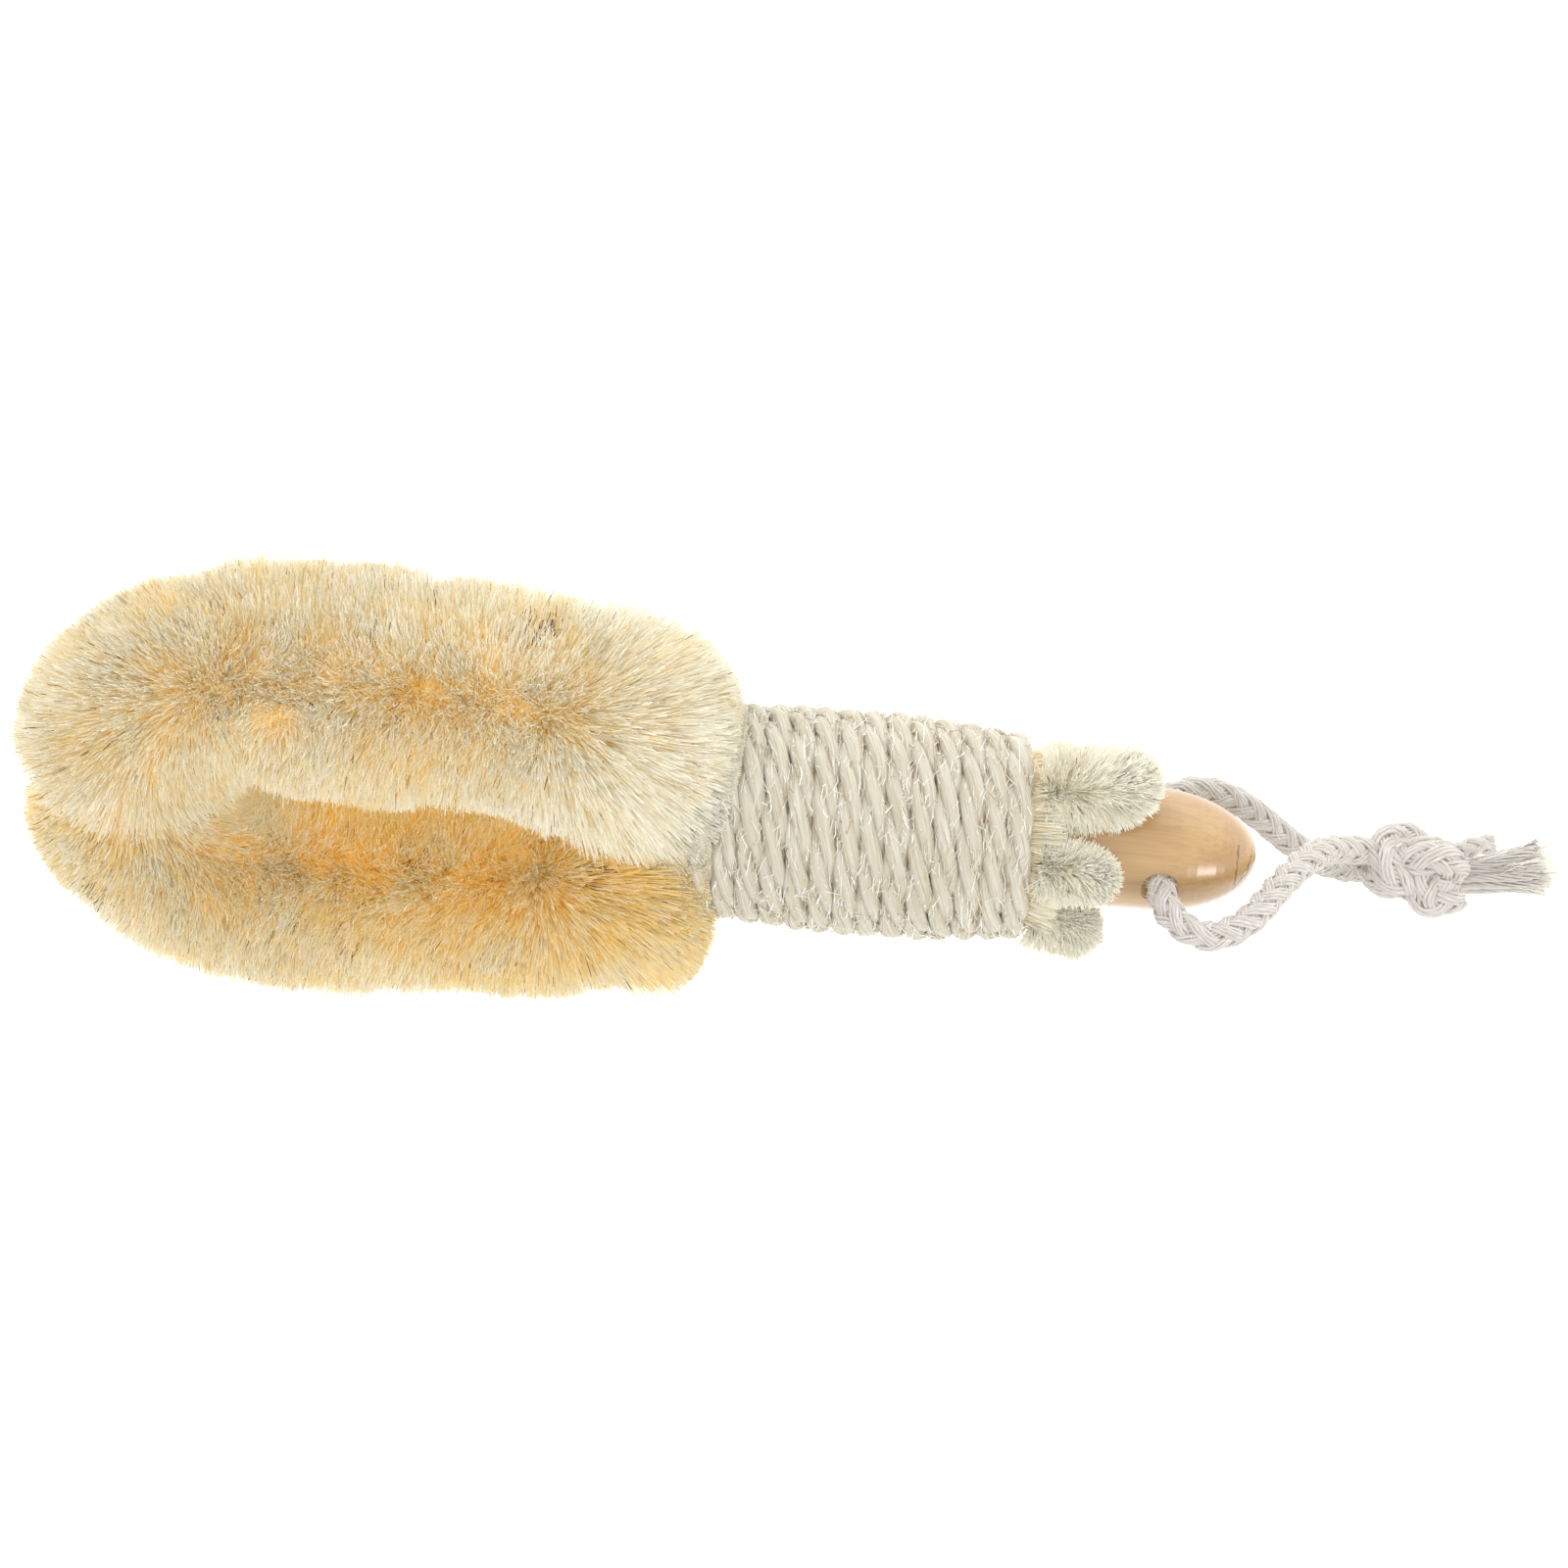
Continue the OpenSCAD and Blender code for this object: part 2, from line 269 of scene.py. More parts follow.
def tube_arrays(path, radius, sides, roughen=None):
    """Points, corners, face sizes, uv and grain of a closed tube round a path."""
    t, u, v = transport(path)
    n = len(path)
    s = arc_length(path)
    r = np.reshape(radius, (-1, 1)) * np.ones((n, sides))
    a = 2 * pi * np.arange(sides) / sides
    if roughen is not None:
        r = r + roughen(s[:, None], a)
    points = (path[:, None] + swing(a, u[:, None], v[:, None]) * r[:, :, None]).reshape(-1, 3)
    grain = columns(s[:, None], np.cos(a) * r.mean(), np.sin(a) * r.mean())
    around = 2 * pi * r.mean()
    rows = max(1, int(round(math.sqrt(s[-1] / around))))
    row_len = s[-1] / rows * 1.0001
    step = (s[1:] - s[:-1]).max()
    row = np.floor(s[:-1] / row_len)
    across = (row[:, None] + 0.04 + 0.92 * np.arange(sides + 1) / sides) / rows
    uv = np.empty((n - 1, sides, 4, 2))
    uv[:, :, :2, 0] = ((s[:-1] - row * row_len) / (row_len + step))[:, None, None]
    uv[:, :, 2:, 0] = ((s[1:] - row * row_len) / (row_len + step))[:, None, None]
    uv[:, :, 0, 1] = uv[:, :, 3, 1] = across[:, :-1]
    uv[:, :, 1, 1] = uv[:, :, 2, 1] = across[:, 1:]
    caps = np.concatenate([np.arange(sides)[::-1], (n - 1) * sides + np.arange(sides)])
    cap_uv = np.full((2 * sides, 2), 0.002)
    loops = np.concatenate([tube_faces(n, sides), caps])
    sizes = np.concatenate([np.full((n - 1) * sides, 4), [sides, sides]])
    return points, loops, sizes, np.concatenate([uv.reshape(-1, 2), cap_uv]), grain


def tubes(name, parts, material, body, slot):
    """One piece from the arrays of several tubes, whose uv squares are laid side by side."""
    first = np.cumsum([0] + [len(part[0]) for part in parts])
    cells = math.ceil(math.sqrt(len(parts)))
    moved = [(p, corners + first[j], sizes, (uv * 0.98 + 0.01 + [j % cells, j // cells]) / cells,
              grain + [37.0 * j, 0, 0]) for j, (p, corners, sizes, uv, grain) in enumerate(parts)]
    points, loops, sizes, uv, grain = [np.concatenate(arrays) for arrays in zip(*moved)]
    return mesh(name, points, loops, sizes, material, body, slot, uv=uv, grain=grain)


# ---- Materials ----

def rgb(code):
    """Linear colour of a hex code."""
    c = [int(code[i:i + 2], 16) / 255 for i in (1, 3, 5)]
    return [x / 12.92 if x <= 0.04045 else ((x + 0.055) / 1.055) ** 2.4 for x in c] + [1.0]


class Shader:
    """A material whose nodes are added one call at a time."""

    def __init__(self, name, roughness, specular=0.5, **inputs):
        self.material = bpy.data.materials.new(name)
        self.material.use_nodes = True
        self.tree = self.material.node_tree
        self.bsdf = self.tree.nodes["Principled BSDF"]
        for key, value in dict(inputs, Roughness=roughness, Specular_IOR_Level=specular).items():
            self.bsdf.inputs[key.replace("_", " ")].default_value = value

    def node(self, kind, settings=(), **inputs):
        made = self.tree.nodes.new("ShaderNode" + kind)
        for key, value in dict(settings).items():
            setattr(made, key, value)
        for key, value in inputs.items():
            self.plug(value, made.inputs[key.replace("_", " ")])
        return made

    def plug(self, value, socket):
        if isinstance(value, bpy.types.NodeSocket):
            self.tree.links.new(value, socket)
        else:
            socket.default_value = value

    def set(self, key, value):
        self.plug(value, self.bsdf.inputs[key])

    def math(self, operation, a, b=0.0, c=0.0):
        made = self.node("Math", {"operation": operation})
        for socket, value in zip(made.inputs, (a, b, c)):
            self.plug(value, socket)
        return made.outputs[0]

    def ramp(self, value, stops):
        made = self.node("ValToRGB", Fac=value)
        ramp = made.color_ramp
        while len(ramp.elements) < len(stops):
            ramp.elements.new(0.5)
        for element, (place, code) in zip(ramp.elements, stops):
            element.position = place
            element.color = rgb(code) if isinstance(code, str) else [code, code, code, 1]
        return made.outputs["Color"]

    def noise(self, vector, scale, detail=3.0, roughness=0.5):
        made = self.node("TexNoise", Vector=vector, Scale=scale, Detail=detail, Roughness=roughness)
        return made.outputs["Fac"]

    def place(self):
        return self.node("TexCoord").outputs["Object"]

    def baked(self):
        """Along the fibre, and its tone."""
        uv = self.node("UVMap", {"uv_map": "OFBake"}).outputs[0]
        return self.node("SeparateXYZ", Vector=uv).outputs[:2]

    def stretch(self, vector, factors):
        return self.node("Mapping", Vector=vector, Scale=factors).outputs[0]

    def blend(self, a, b, fac, mode="MIX"):
        made = self.node("MixRGB", {"blend_type": mode})
        for socket, value in zip(made.inputs, (fac, a, b)):
            self.plug(value, socket)
        return made.outputs[0]

    def let_through(self, colour, share):
        """Thin fibres pass part of the light on to those behind them."""
        through = self.node("BsdfTranslucent", Color=colour)
        both = self.node("MixShader", Fac=share)
        self.tree.links.new(self.bsdf.outputs[0], both.inputs[1])
        self.tree.links.new(through.outputs[0], both.inputs[2])
        self.tree.links.new(both.outputs[0], self.tree.nodes["Material Output"].inputs["Surface"])

    def bump(self, height, strength, distance):
        made = self.node("Bump", Height=height, Strength=strength, Distance=distance)
        self.set("Normal", made.outputs[0])


def bristle_material():
    """Fibres coloured by their own coordinates: along the fibre, and its tone across."""
    s = Shader("sisal_bristle", 0.5, 0.12)
    along, tone = s.baked()
    # The roots are golden and the tips cream: the golden roots are painted shade for the deep inside of the fur.
    root = s.ramp(tone, [(0.0, "#6B4526"), (0.06, "#8A5A2B"), (0.1, "#FFD060"), (0.5, "#FFE49C"),
                         (1.0, "#FDEABC")])
    tip = s.ramp(tone, [(0.0, "#5A3A20"), (0.06, "#7A5028"), (0.1, "#F3DC9A"), (0.35, "#F0E3C0"),
                        (0.65, "#EAE6D8"), (1.0, "#F6F4EA")])
    colour = s.blend(root, tip, s.ramp(along, [(0.3, 0.0), (0.92, 1.0)]))
    s.set("Base Color", colour)
    s.let_through(colour, 0.5)
    return s.material


def coarse_bristle_material():
    s = Shader("sisal_undercoat", 0.8, 0.1)
    fine = s.noise(s.place(), 900.0, 4.0)
    s.set("Base Color", s.ramp(fine, [(0.3, "#EBC682"), (0.55, "#F2D69C"), (0.8, "#F9E4B6")]))
    s.bump(fine, 0.8, 0.0006)
    return s.material


def laid_material(s, streaks, patches, colours, tints, tint_share):
    """Streaks along the strands under broad tinted patches. Returns the streaks."""
    grain = s.node("Attribute", {"attribute_name": "grain"}).outputs["Vector"]
    streak = s.noise(s.stretch(grain, streaks), 1.0, 4.0, 0.6)
    broad = s.noise(s.stretch(grain, patches), 1.0, 2.0)
    light = s.ramp(streak, colours)
    s.set("Base Color", s.blend(light, s.ramp(broad, tints), tint_share, "MULTIPLY"))
    return streak


def rope_material():
    s = Shader("sisal_rope", 0.6, 0.25)
    streak = laid_material(s, (0.12, 5.0, 5.0), (0.05, 0.4, 0.4),
                           [(0.25, "#7E7055"), (0.4, "#A8A291"), (0.6, "#BAB8B2"), (0.8, "#C6C7C8")],
                           [(0.3, "#E6D6B2"), (0.7, "#FAF5E9")], 0.45)
    s.bump(streak, 0.7, 0.0004)
    return s.material


def cord_material():
    s = Shader("cotton_cord", 0.75, 0.2)
    streak = laid_material(s, (0.35, 6.0, 6.0), (0.08, 0.3, 0.3),
                           [(0.25, "#887C6E"), (0.42, "#AEA9A4"), (0.6, "#BEBEBD"), (0.8, "#C8CACC")],
                           [(0.3, "#E8DCCC"), (0.7, "#FAF6F0")], 0.5)
    s.bump(streak, 0.6, 0.0003)
    return s.material


def yarn_material():
    """Loose fibres of the rope and the cord, coloured by their tone."""
    s = Shader("loose_yarn", 0.6, 0.25)
    tone = s.baked()[1]
    s.set("Base Color", s.ramp(tone, [(0.0, "#6E5332"), (0.3, "#AC9E7F"), (0.6, "#C7C1B3"), (1.0, "#DCDBD7")]))
    return s.material


def wood_material():
    s = Shader("lacquered_wood", 0.38, 0.4, Coat_Weight=0.8, Coat_Roughness=0.2)
    place = s.place()
    split = s.node("SeparateXYZ", Vector=place)
    wobble = s.noise(s.stretch(place, (12.0, 60.0, 60.0)), 1.0, 2.0)
    pith = s.node("Mapping", Vector=place, Location=(0.0, 0.035, -0.012), Scale=(0.35, 1.0, 1.0)).outputs[0]
    rings = s.node("TexWave", {"wave_type": "RINGS", "rings_direction": "X"}, Vector=pith,
                   Scale=38.0, Distortion=2.2, Detail=2.0, Detail_Scale=3.0).outputs["Fac"]
    grain = s.noise(s.stretch(place, (45.0, 1400.0, 1400.0)), 1.0, 3.0, 0.6)
    pores = s.noise(s.stretch(place, (120.0, 3000.0, 3000.0)), 1.0, 2.0)
    base = s.ramp(rings, [(0.0, "#806235"), (0.5, "#8C6E42"), (1.0, "#967B50")])
    base = s.blend(base, s.ramp(grain, [(0.3, "#A87840"), (0.6, "#F2DCB8")]), 0.35, "SOFT_LIGHT")
    base = s.blend(base, rgb("#8C5E34"), s.math("MULTIPLY", s.ramp(pores, [(0.62, 0.0), (0.75, 1.0)]), 0.5))
    base = s.blend(base, s.ramp(wobble, [(0.3, "#87673E"), (0.7, "#9B825A")]), 0.3)
    base = s.blend(base, rgb("#3B2A1C"), s.math("MULTIPLY", crack(s, split), 0.7))
    s.set("Base Color", base)
    s.bump(grain, 0.05, 0.0002)
    return s.material


CRACK_X, CRACK_GAP = 0.1553, 0.0035  # the dowel's two fine cracks near its tip, in metres
CRACK_WIDTH = 0.00044  # at its widest
CRACK_FACING = radians(40)  # the side of the dowel they run round, from straight up towards the camera
CRACK_END = 0.0086  # how far down the picture they reach from there


def crack(s, split):
    """Two fine cracks round part of one side of the dowel's dome, that meet at one end. down is
    the way along them, down the picture."""
    x, y, z = split.outputs
    sin, cos = math.sin(CRACK_FACING), math.cos(CRACK_FACING)

    def times(a, b):
        return s.math("MULTIPLY", a, b)

    def less(a, b):
        return s.math("SUBTRACT", a, b)
    down = less(times(less(z, AXIS_Z * MM), sin), times(y, cos))
    front = s.math("ADD", times(less(z, AXIS_Z * MM), cos), times(y, sin))
    uneven = s.noise(split.inputs[0].links[0].from_socket, 420.0, 2.0)
    x = s.math("ADD", x, times(less(uneven, 0.5), 0.0012))
    join = s.math("SMOOTH_MAX", 0.0, times(less(down, 0.0035), 0.75), 0.001)
    total = 0.0
    for place, first in ((CRACK_X, -0.003), (less(CRACK_X + CRACK_GAP, join), -0.0005)):
        line = s.math("LESS_THAN", s.math("ABSOLUTE", less(x, place)), times(uneven, CRACK_WIDTH))
        span = times(s.math("GREATER_THAN", down, first), s.math("LESS_THAN", down, CRACK_END))
        total = s.math("MAXIMUM", total, times(line, span))
    return times(total, s.math("GREATER_THAN", front, 0.0))


def steel_material():
    s = Shader("steel_wire", 0.35, Metallic=1.0)
    s.set("Base Color", s.ramp(s.noise(s.place(), 700.0), [(0.3, "#8E8E8C"), (0.7, "#C4C4C0")]))
    return s.material


def floor_material():
    s = Shader("pale_floor", 0.9, 0.0)
    s.set("Base Color", s.ramp(s.noise(s.place(), 3.0), [(0.0, "#F0F0F0"), (1.0, "#F4F4F4")]))
    s.set("Emission Color", rgb("#FFFFFF"))
    s.set("Emission Strength", FLOOR_GLOW)
    return s.material


# ---- Camera, light and floor ----

TILT = radians(50)  # height of the camera's direction above the table
ROLL = radians(5.1)  # turn of the brush in the picture
AIM = np.array([38.1, 6.28, 25.2])
FIELD = 404.4  # width of the picture at the brush
FLOOR_GLOW = 0.45  # the floor is a lit table, as in a bright product studio
LENS, SENSOR = 100.0, 36.0
WORLD_LIGHT, KEY_LIGHT, FILL_LIGHT = 1.65, 5.5, 2.2
KEY_SIZE, FILL_SIZE = 0.42, 0.9  # metres across
LATE_LIGHT = 1.5  # strength of the light that late bounces find
LATE_REACH = 0.001  # metres that late bounces look ahead for more fibres
FLOOR_HALF, FLOOR_DROP = 3.0, 0.0003  # metres


def make_camera():
    back = Vector((0, math.cos(TILT), math.sin(TILT)))
    level = Vector((0, math.sin(TILT), -math.cos(TILT)))
    right = Vector((math.cos(ROLL), 0, 0)) + math.sin(ROLL) * level
    up = math.cos(ROLL) * level - Vector((math.sin(ROLL), 0, 0))
    data = bpy.data.cameras.new("camera")
    data.lens, data.sensor_width = LENS, SENSOR
    data.clip_start, data.clip_end = 0.05, 20
    camera = bpy.data.objects.new("camera", data)
    scene.collection.objects.link(camera)
    place = Matrix((right, up, back)).transposed().to_4x4()
    place.translation = Vector(AIM * MM) + back * (FIELD * MM * LENS / SENSOR)
    camera.matrix_world = place
    bpy.context.scene.camera = camera


def area_light(name, direction, distance, size, power):
    target = Vector((0.0, 0.0, 0.03))
    data = bpy.data.lights.new(name, "AREA")
    data.shape, data.size, data.energy = "DISK", size, power
    light = bpy.data.objects.new(name, data)
    scene.collection.objects.link(light)
    light.location = target + Vector(direction).normalized() * distance
    light.rotation_mode = "QUATERNION"
    light.rotation_quaternion = (target - light.location).to_track_quat("-Z", "Y")


def make_stage():
    world = bpy.data.worlds.new("studio")
    scene.world = world
    world.use_nodes = True
    sky = world.node_tree.nodes["Background"].inputs
    sky["Color"].default_value = (1, 1, 1, 1)
    sky["Strength"].default_value = WORLD_LIGHT
    area_light("key", (0.71, -0.05, 0.70), 1.4, KEY_SIZE, KEY_LIGHT)
    area_light("fill", (-0.6, 0.5, 0.8), 1.5, FILL_SIZE, FILL_LIGHT)
    scene.view_settings.view_transform = "Standard"
    cycles = scene.cycles
    cycles.diffuse_bounces = cycles.transmission_bounces = cycles.max_bounces = 8
    cycles.use_fast_gi = True  # late bounces inside the dense fibres see the bright room
    cycles.fast_gi_method = "REPLACE"
    cycles.ao_bounces = cycles.ao_bounces_render = 2
    world.light_settings.ao_factor = LATE_LIGHT
    world.light_settings.distance = LATE_REACH
    data = bpy.data.meshes.new("floor")
    corners = [(x * FLOOR_HALF, y * FLOOR_HALF, 0) for x, y in ((-1, -1), (1, -1), (1, 1), (-1, 1))]
    data.from_pydata(corners, [], [(0, 1, 2, 3)])
    floor = bpy.data.objects.new("floor", data)
    floor.location.z = -FLOOR_DROP
    data.materials.append(floor_material())
    scene.collection.objects.link(floor)


# ---- Hanging cord ----

ROUTE_OVER = [
    (136, 0, 30.5), (136, 0, 36), (136, 0, 42), (136.3, -0.2, 47.5), (138, -0.8, 53), (141, -1.5, 57),
    (145.5, -2.2, 59.5), (150.5, -2.7, 59), (155, -2.8, 56), (159, -2.5, 52), (162.5, -2, 47),
    (165.5, -1.5, 42), (168.5, -1.2, 37), (171.5, -1.5, 32), (174.5, -2, 27.5), (178, -3.5, 22.5),
    (181.5, -5.5, 18), (185.5, -7.5, 15), (190, -9, 13), (195, -9.5, 12.5), (199, -10, 12.5)]
ROUTE_UNDER = [
    (136, 0, 30.5), (136, 0, 25), (136, 0, 20), (136.5, -0.2, 14.5), (138.5, -0.5, 9.5), (142, -0.8, 6),
    (147, -1, 4.2), (152, -1.5, 4), (157, -3.5, 4), (161.5, -6.5, 4), (166, -10, 4), (170.5, -14, 4),
    (175, -17.5, 4), (179.5, -20.5, 4), (184.5, -22, 4.5), (189.5, -21.5, 6), (195, -19.5, 8),
    (199, -18, 9)]
CORD_D = 8.0
BRAID_PITCH = 25.6  # one turn of a strand round the cord
BRAID_R, BRAID_LIFT = 2.8, 0.55
YARN_R, YARN_STEP = 0.52, 0.74
YARNS = (-1.5, -0.5, 0.5, 1.5)  # places of a strand's yarns across it, in steps


def braid(points, outer_r, seed=0):
    """Tubes of an eight-strand round braid along the points: four strands turn each way, over two
    and under two of the others, and each strand is a ribbon of parallel yarns."""
    rng = seeded(seed)
    path, s = smooth_path(points, 0.6)
    t, u, v = transport(path)
    scale = outer_r / (CORD_D / 2)
    omega = 2 * pi / (BRAID_PITCH * scale)
    parts = []
    for turn in (1, -1):
        for k in range(4):
            a = turn * omega * s + pi / 2 * k
            lift = BRAID_LIFT * turn * np.cos(2 * omega * s + pi * k - turn * pi / 4)
            outward = swing(a, u, v)
            centre = path + outward * ((BRAID_R + lift) * scale)[:, None]
            heading = unit(np.gradient(centre, axis=0))
            across = unit(np.cross(heading, outward))
            lifted = np.cross(across, heading)
            for y in YARNS:
                wave = rng.uniform(0, 6.3)
                jitter = 0.07 * np.sin(s * 1.7 + wave)
                yarn = (centre + across * ((y * YARN_STEP + jitter) * scale)[:, None]
                        + lifted * ((0.5 * math.cos(y) - 0.25 + jitter) * scale)[:, None])
                thick = (YARN_R + 0.05 * np.sin(s * 2.9 + wave)) * scale
                parts.append(tube_arrays(yarn, thick, 6))
    return parts


def cord_fuzz(name, points, outer_r, count, seed, material):
    """Short loose hairs that stand off a cord."""
    rng = seeded(seed)
    path, s = smooth_path(points, 0.5)
    t, u, v = transport(path)
    i = rng.integers(2, len(path) - 2, count)
    a = rng.uniform(0, 2 * pi, count)
    out = swing(a, u[i], v[i])
    root = path[i] + out * (outer_r * 0.85)
    lean = rng.normal(0, 1, (count, 3))
    length = rng.uniform(0.8, 2.6, count)[:, None]
    middle = root + unit(out + 0.8 * lean) * length * 0.5
    tip = middle + unit(0.6 * out + lean) * length * 0.5
    keep_above(tip, TABLE_GAP)
    keep_above(middle, TABLE_GAP)
    return fibres(name, [root, middle, tip], rng.uniform(0.05, 0.09, count), rng.uniform(0.5, 1, count),
                  material, *CORD)


KNOT_UNIT = 2.35  # size of the knot's lobes
KNOT_CUT = 0.62  # radians left open on each side of the lowest lobe
KNOT_APART, KNOT_LEG_R = 2.1, 4.7  # the two legs run side by side through it, pressed and loosened


def knot_path(offset):
    """An overhand knot: a trefoil cut open at its lowest lobe, its ends led out along X."""
    t = np.linspace(pi - KNOT_CUT, -pi + KNOT_CUT, 40)
    x = np.sin(t) + 2 * np.sin(2 * t)
    y = np.cos(t) - 2 * np.cos(2 * t)
    z = -np.sin(3 * t)
    body = columns(x * 1.22, y * 0.98, z * 1.18) * KNOT_UNIT
    lead_in = np.array([[-4.6, -0.6, -0.1], [-3.4, -1.5, -0.6], [-2.1, -2.3, -0.9]]) * KNOT_UNIT
    lead_out = np.array([[2.1, -2.3, 0.9], [3.4, -1.7, 0.6], [4.4, -0.9, 0.2]]) * KNOT_UNIT
    path, s = smooth_path(np.vstack([lead_in, body, lead_out]), 1.5)
    tangent, u, v = transport(path)
    return path + v * offset + u * offset * 0.35


def knot_points(offset):
    """The knot's path turned and moved to its place in the frame."""
    turn = Matrix.Rotation(radians(-34), 3, "X") @ Matrix.Rotation(radians(-8), 3, "Z")
    return knot_path(offset) @ np.array(turn).T + KNOT + [0, 1.0, 1.0]


def cord_piece(name, parts, material, node):
    piece = tubes(name, parts, material, *CORD)
    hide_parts(node)
    return piece


def make_cords(material, loose):
    over = cord_piece("cord_over_braid", braid(ROUTE_OVER, CORD_D / 2, 1), material, "cord_over")
    under = cord_piece("cord_under_braid", braid(ROUTE_UNDER, CORD_D / 2, 2), material, "cord_under")
    knot = cord_piece("cord_knot_braid", braid(knot_points(KNOT_APART), KNOT_LEG_R, 3)
                      + braid(knot_points(-KNOT_APART), KNOT_LEG_R, 4), material, "cord_knot")
    frayed, hairs = frayed_end(material, loose)
    short_route = [KNOT + [7.5, 4, -1], KNOT + [11, 5.5, -2], KNOT + [15, 7, -3], KNOT + [19.5, 7.5, -4]]
    short = cord_piece("cord_short_end", braid(short_route, 2.7, 6), material, "cord_end_short")
    fuzz = [cord_fuzz("cord_over_fuzz", ROUTE_OVER, 4, 500, 11, loose),
            cord_fuzz("cord_under_fuzz", ROUTE_UNDER, 4, 400, 12, loose),
            cord_fuzz("cord_knot_fuzz", knot_points(0.0), 5.2, 700, 13, loose)]


FRAY_START = np.array([214.0, -20.5, 8.0])
FRAY_TURN = radians(15)
FRAY_LEN = 28.0
FRAY_LOCKS, FRAY_YARNS, FRAY_HAIRS = 26, 7, 900
FRAY_R = 3.7  # radius of the braid it leaves


def frayed_end(material, loose):
    """The cord's unravelled end: its yarns leave the last stretch of braid and splay."""
    rng = seeded(21)
    ahead = np.array([math.cos(FRAY_TURN), math.sin(FRAY_TURN), 0.0])
    side = np.array([-ahead[1], ahead[0], 0.0])
    parts = braid([FRAY_START - ahead * 6, FRAY_START, FRAY_START + ahead * 5, FRAY_START + ahead * 10], 3.9, 5)
    for j in range(FRAY_LOCKS):
        a, q = j * GOLDEN_ANGLE, math.sqrt((j + 0.5) / FRAY_LOCKS)
        reach = (FRAY_LEN - 4) * rng.uniform(0.86, 1.02)
        spread = 1.15 * rng.uniform(0.6, 1.1)
        phase, wave = rng.uniform(0, 6.3), rng.uniform(0.6, 1.5)
        f = np.linspace(0, 1, 10)
        r = FRAY_R * q * (1 + spread * f ** 1.4)
        lock_r = 0.75 + 0.5 * f ** 2
        for y in range(FRAY_YARNS):
            b = phase + 2 * pi * y / FRAY_YARNS + 5 * f
            across = r * math.cos(a) + wave * np.sin(5 * f + phase) * f + lock_r * np.cos(b)
            lift = r * math.sin(a) + wave * np.cos(4 * f + phase) * f + lock_r * np.sin(b)
            along = 4 + reach * (1 - 0.04 * rng.random(len(f)) * (f > 0.95)) * f
            points = FRAY_START + ahead * along[:, None] + side * across[:, None] + columns(0, 0, lift)
            keep_above(points, 0.6)
            path, s = smooth_path(points, 1.3)
            parts.append(tube_arrays(path, np.linspace(0.46, 0.3, len(path)), 5))
    n = FRAY_HAIRS
    a, q = rng.uniform(0, 2 * pi, n), np.sqrt(rng.random(n))
    base = swing(a, side, np.array([0, 0, 1.0])) * (3.4 * q)[:, None]
    start = FRAY_START + ahead * 6 + ahead * rng.uniform(0, 8, n)[:, None] + base
    reach = rng.uniform(12, 20, n)[:, None]
    middle = start + ahead * reach * 0.5 + base * 0.35 + rng.normal(0, 0.5, (n, 3))
    tip = start + ahead * reach + base * rng.uniform(0.8, 1.5, n)[:, None] + rng.normal(0, 0.9, (n, 3))
    for p in (start, middle, tip):
        keep_above(p, TABLE_GAP)
    piece = cord_piece("cord_frayed_end", parts, material, "cord_end_frayed")
    hairs = fibres("cord_frayed_hairs", [start, middle, tip], rng.uniform(0.07, 0.13, n),
                   rng.uniform(0.55, 1, n), loose, *CORD)
    return piece, hairs


# ---- Binding rope ----

GRIP_MID_X = (rope_low[0] + rope_high[0]) / 2
GRIP_R_HEAD, GRIP_R_MID, GRIP_R_TAIL = 26.5, 29.0, 25.4  # radius over the rope
ROPE_LAY = 38.0  # length of one turn of the rope's own strands
STRAND_R, STRAND_AT = 2.1, 1.5  # a strand's radius, and how far it lies from the rope's middle
STRAND_SPREAD = 1.2  # the pressed rope is wider along the brush than it is high
TUCK_TURN, TUCK_DEPTH = 0.18, 4.0  # each end dives in over this part of a turn
ROPE_MEAN_R = 26
ROPE_HAIRS = 8500


def grip_r(x):
    half = (rope_high[0] - rope_low[0]) / 2
    t = (np.asarray(x, dtype=float) - GRIP_MID_X) / half
    return GRIP_R_MID - np.where(t < 0, GRIP_R_MID - GRIP_R_HEAD, GRIP_R_MID - GRIP_R_TAIL) * t * t


def rope_centreline(step):
    """The winding, with each end turned in under its neighbour."""
    turns = np.arange(0, ROPE_TURNS + 1e-6, step / (2 * pi * ROPE_MEAN_R))
    pitch = (ROPE_END_X - ROPE_START_X) / ROPE_TURNS
    x = ROPE_START_X + pitch * turns
    tuck = ease((turns - ROPE_TURNS + TUCK_TURN) / TUCK_TURN) + ease((TUCK_TURN - turns) / TUCK_TURN)
    r = grip_r(x) - ROPE_R - 0.25 - TUCK_DEPTH * tuck
    wander = 0.35 * (value_noise(columns(turns * 30, 0, 0), 9.0, 5) - 0.5)
    a = 2 * pi * turns
    return columns(x + wander, r * np.cos(a), AXIS_Z + r * np.sin(a))


def strand_ridges(seed):
    """Uneven surface of a bundle of parallel fibres, which turn slowly round the strand."""
    def roughen(s, a):
        turned = a - s / 9.0
        ridges = value_noise(columns(4.2 * np.cos(turned), 4.2 * np.sin(turned), s * 0.22), 1.0, seed) - 0.5
        lumps = value_noise(columns(s * 0.09, 0, 0), 1.0, seed + 1) - 0.5
        return 0.42 * ridges.reshape(turned.shape) + 0.22 * lumps[:, None]
    return roughen


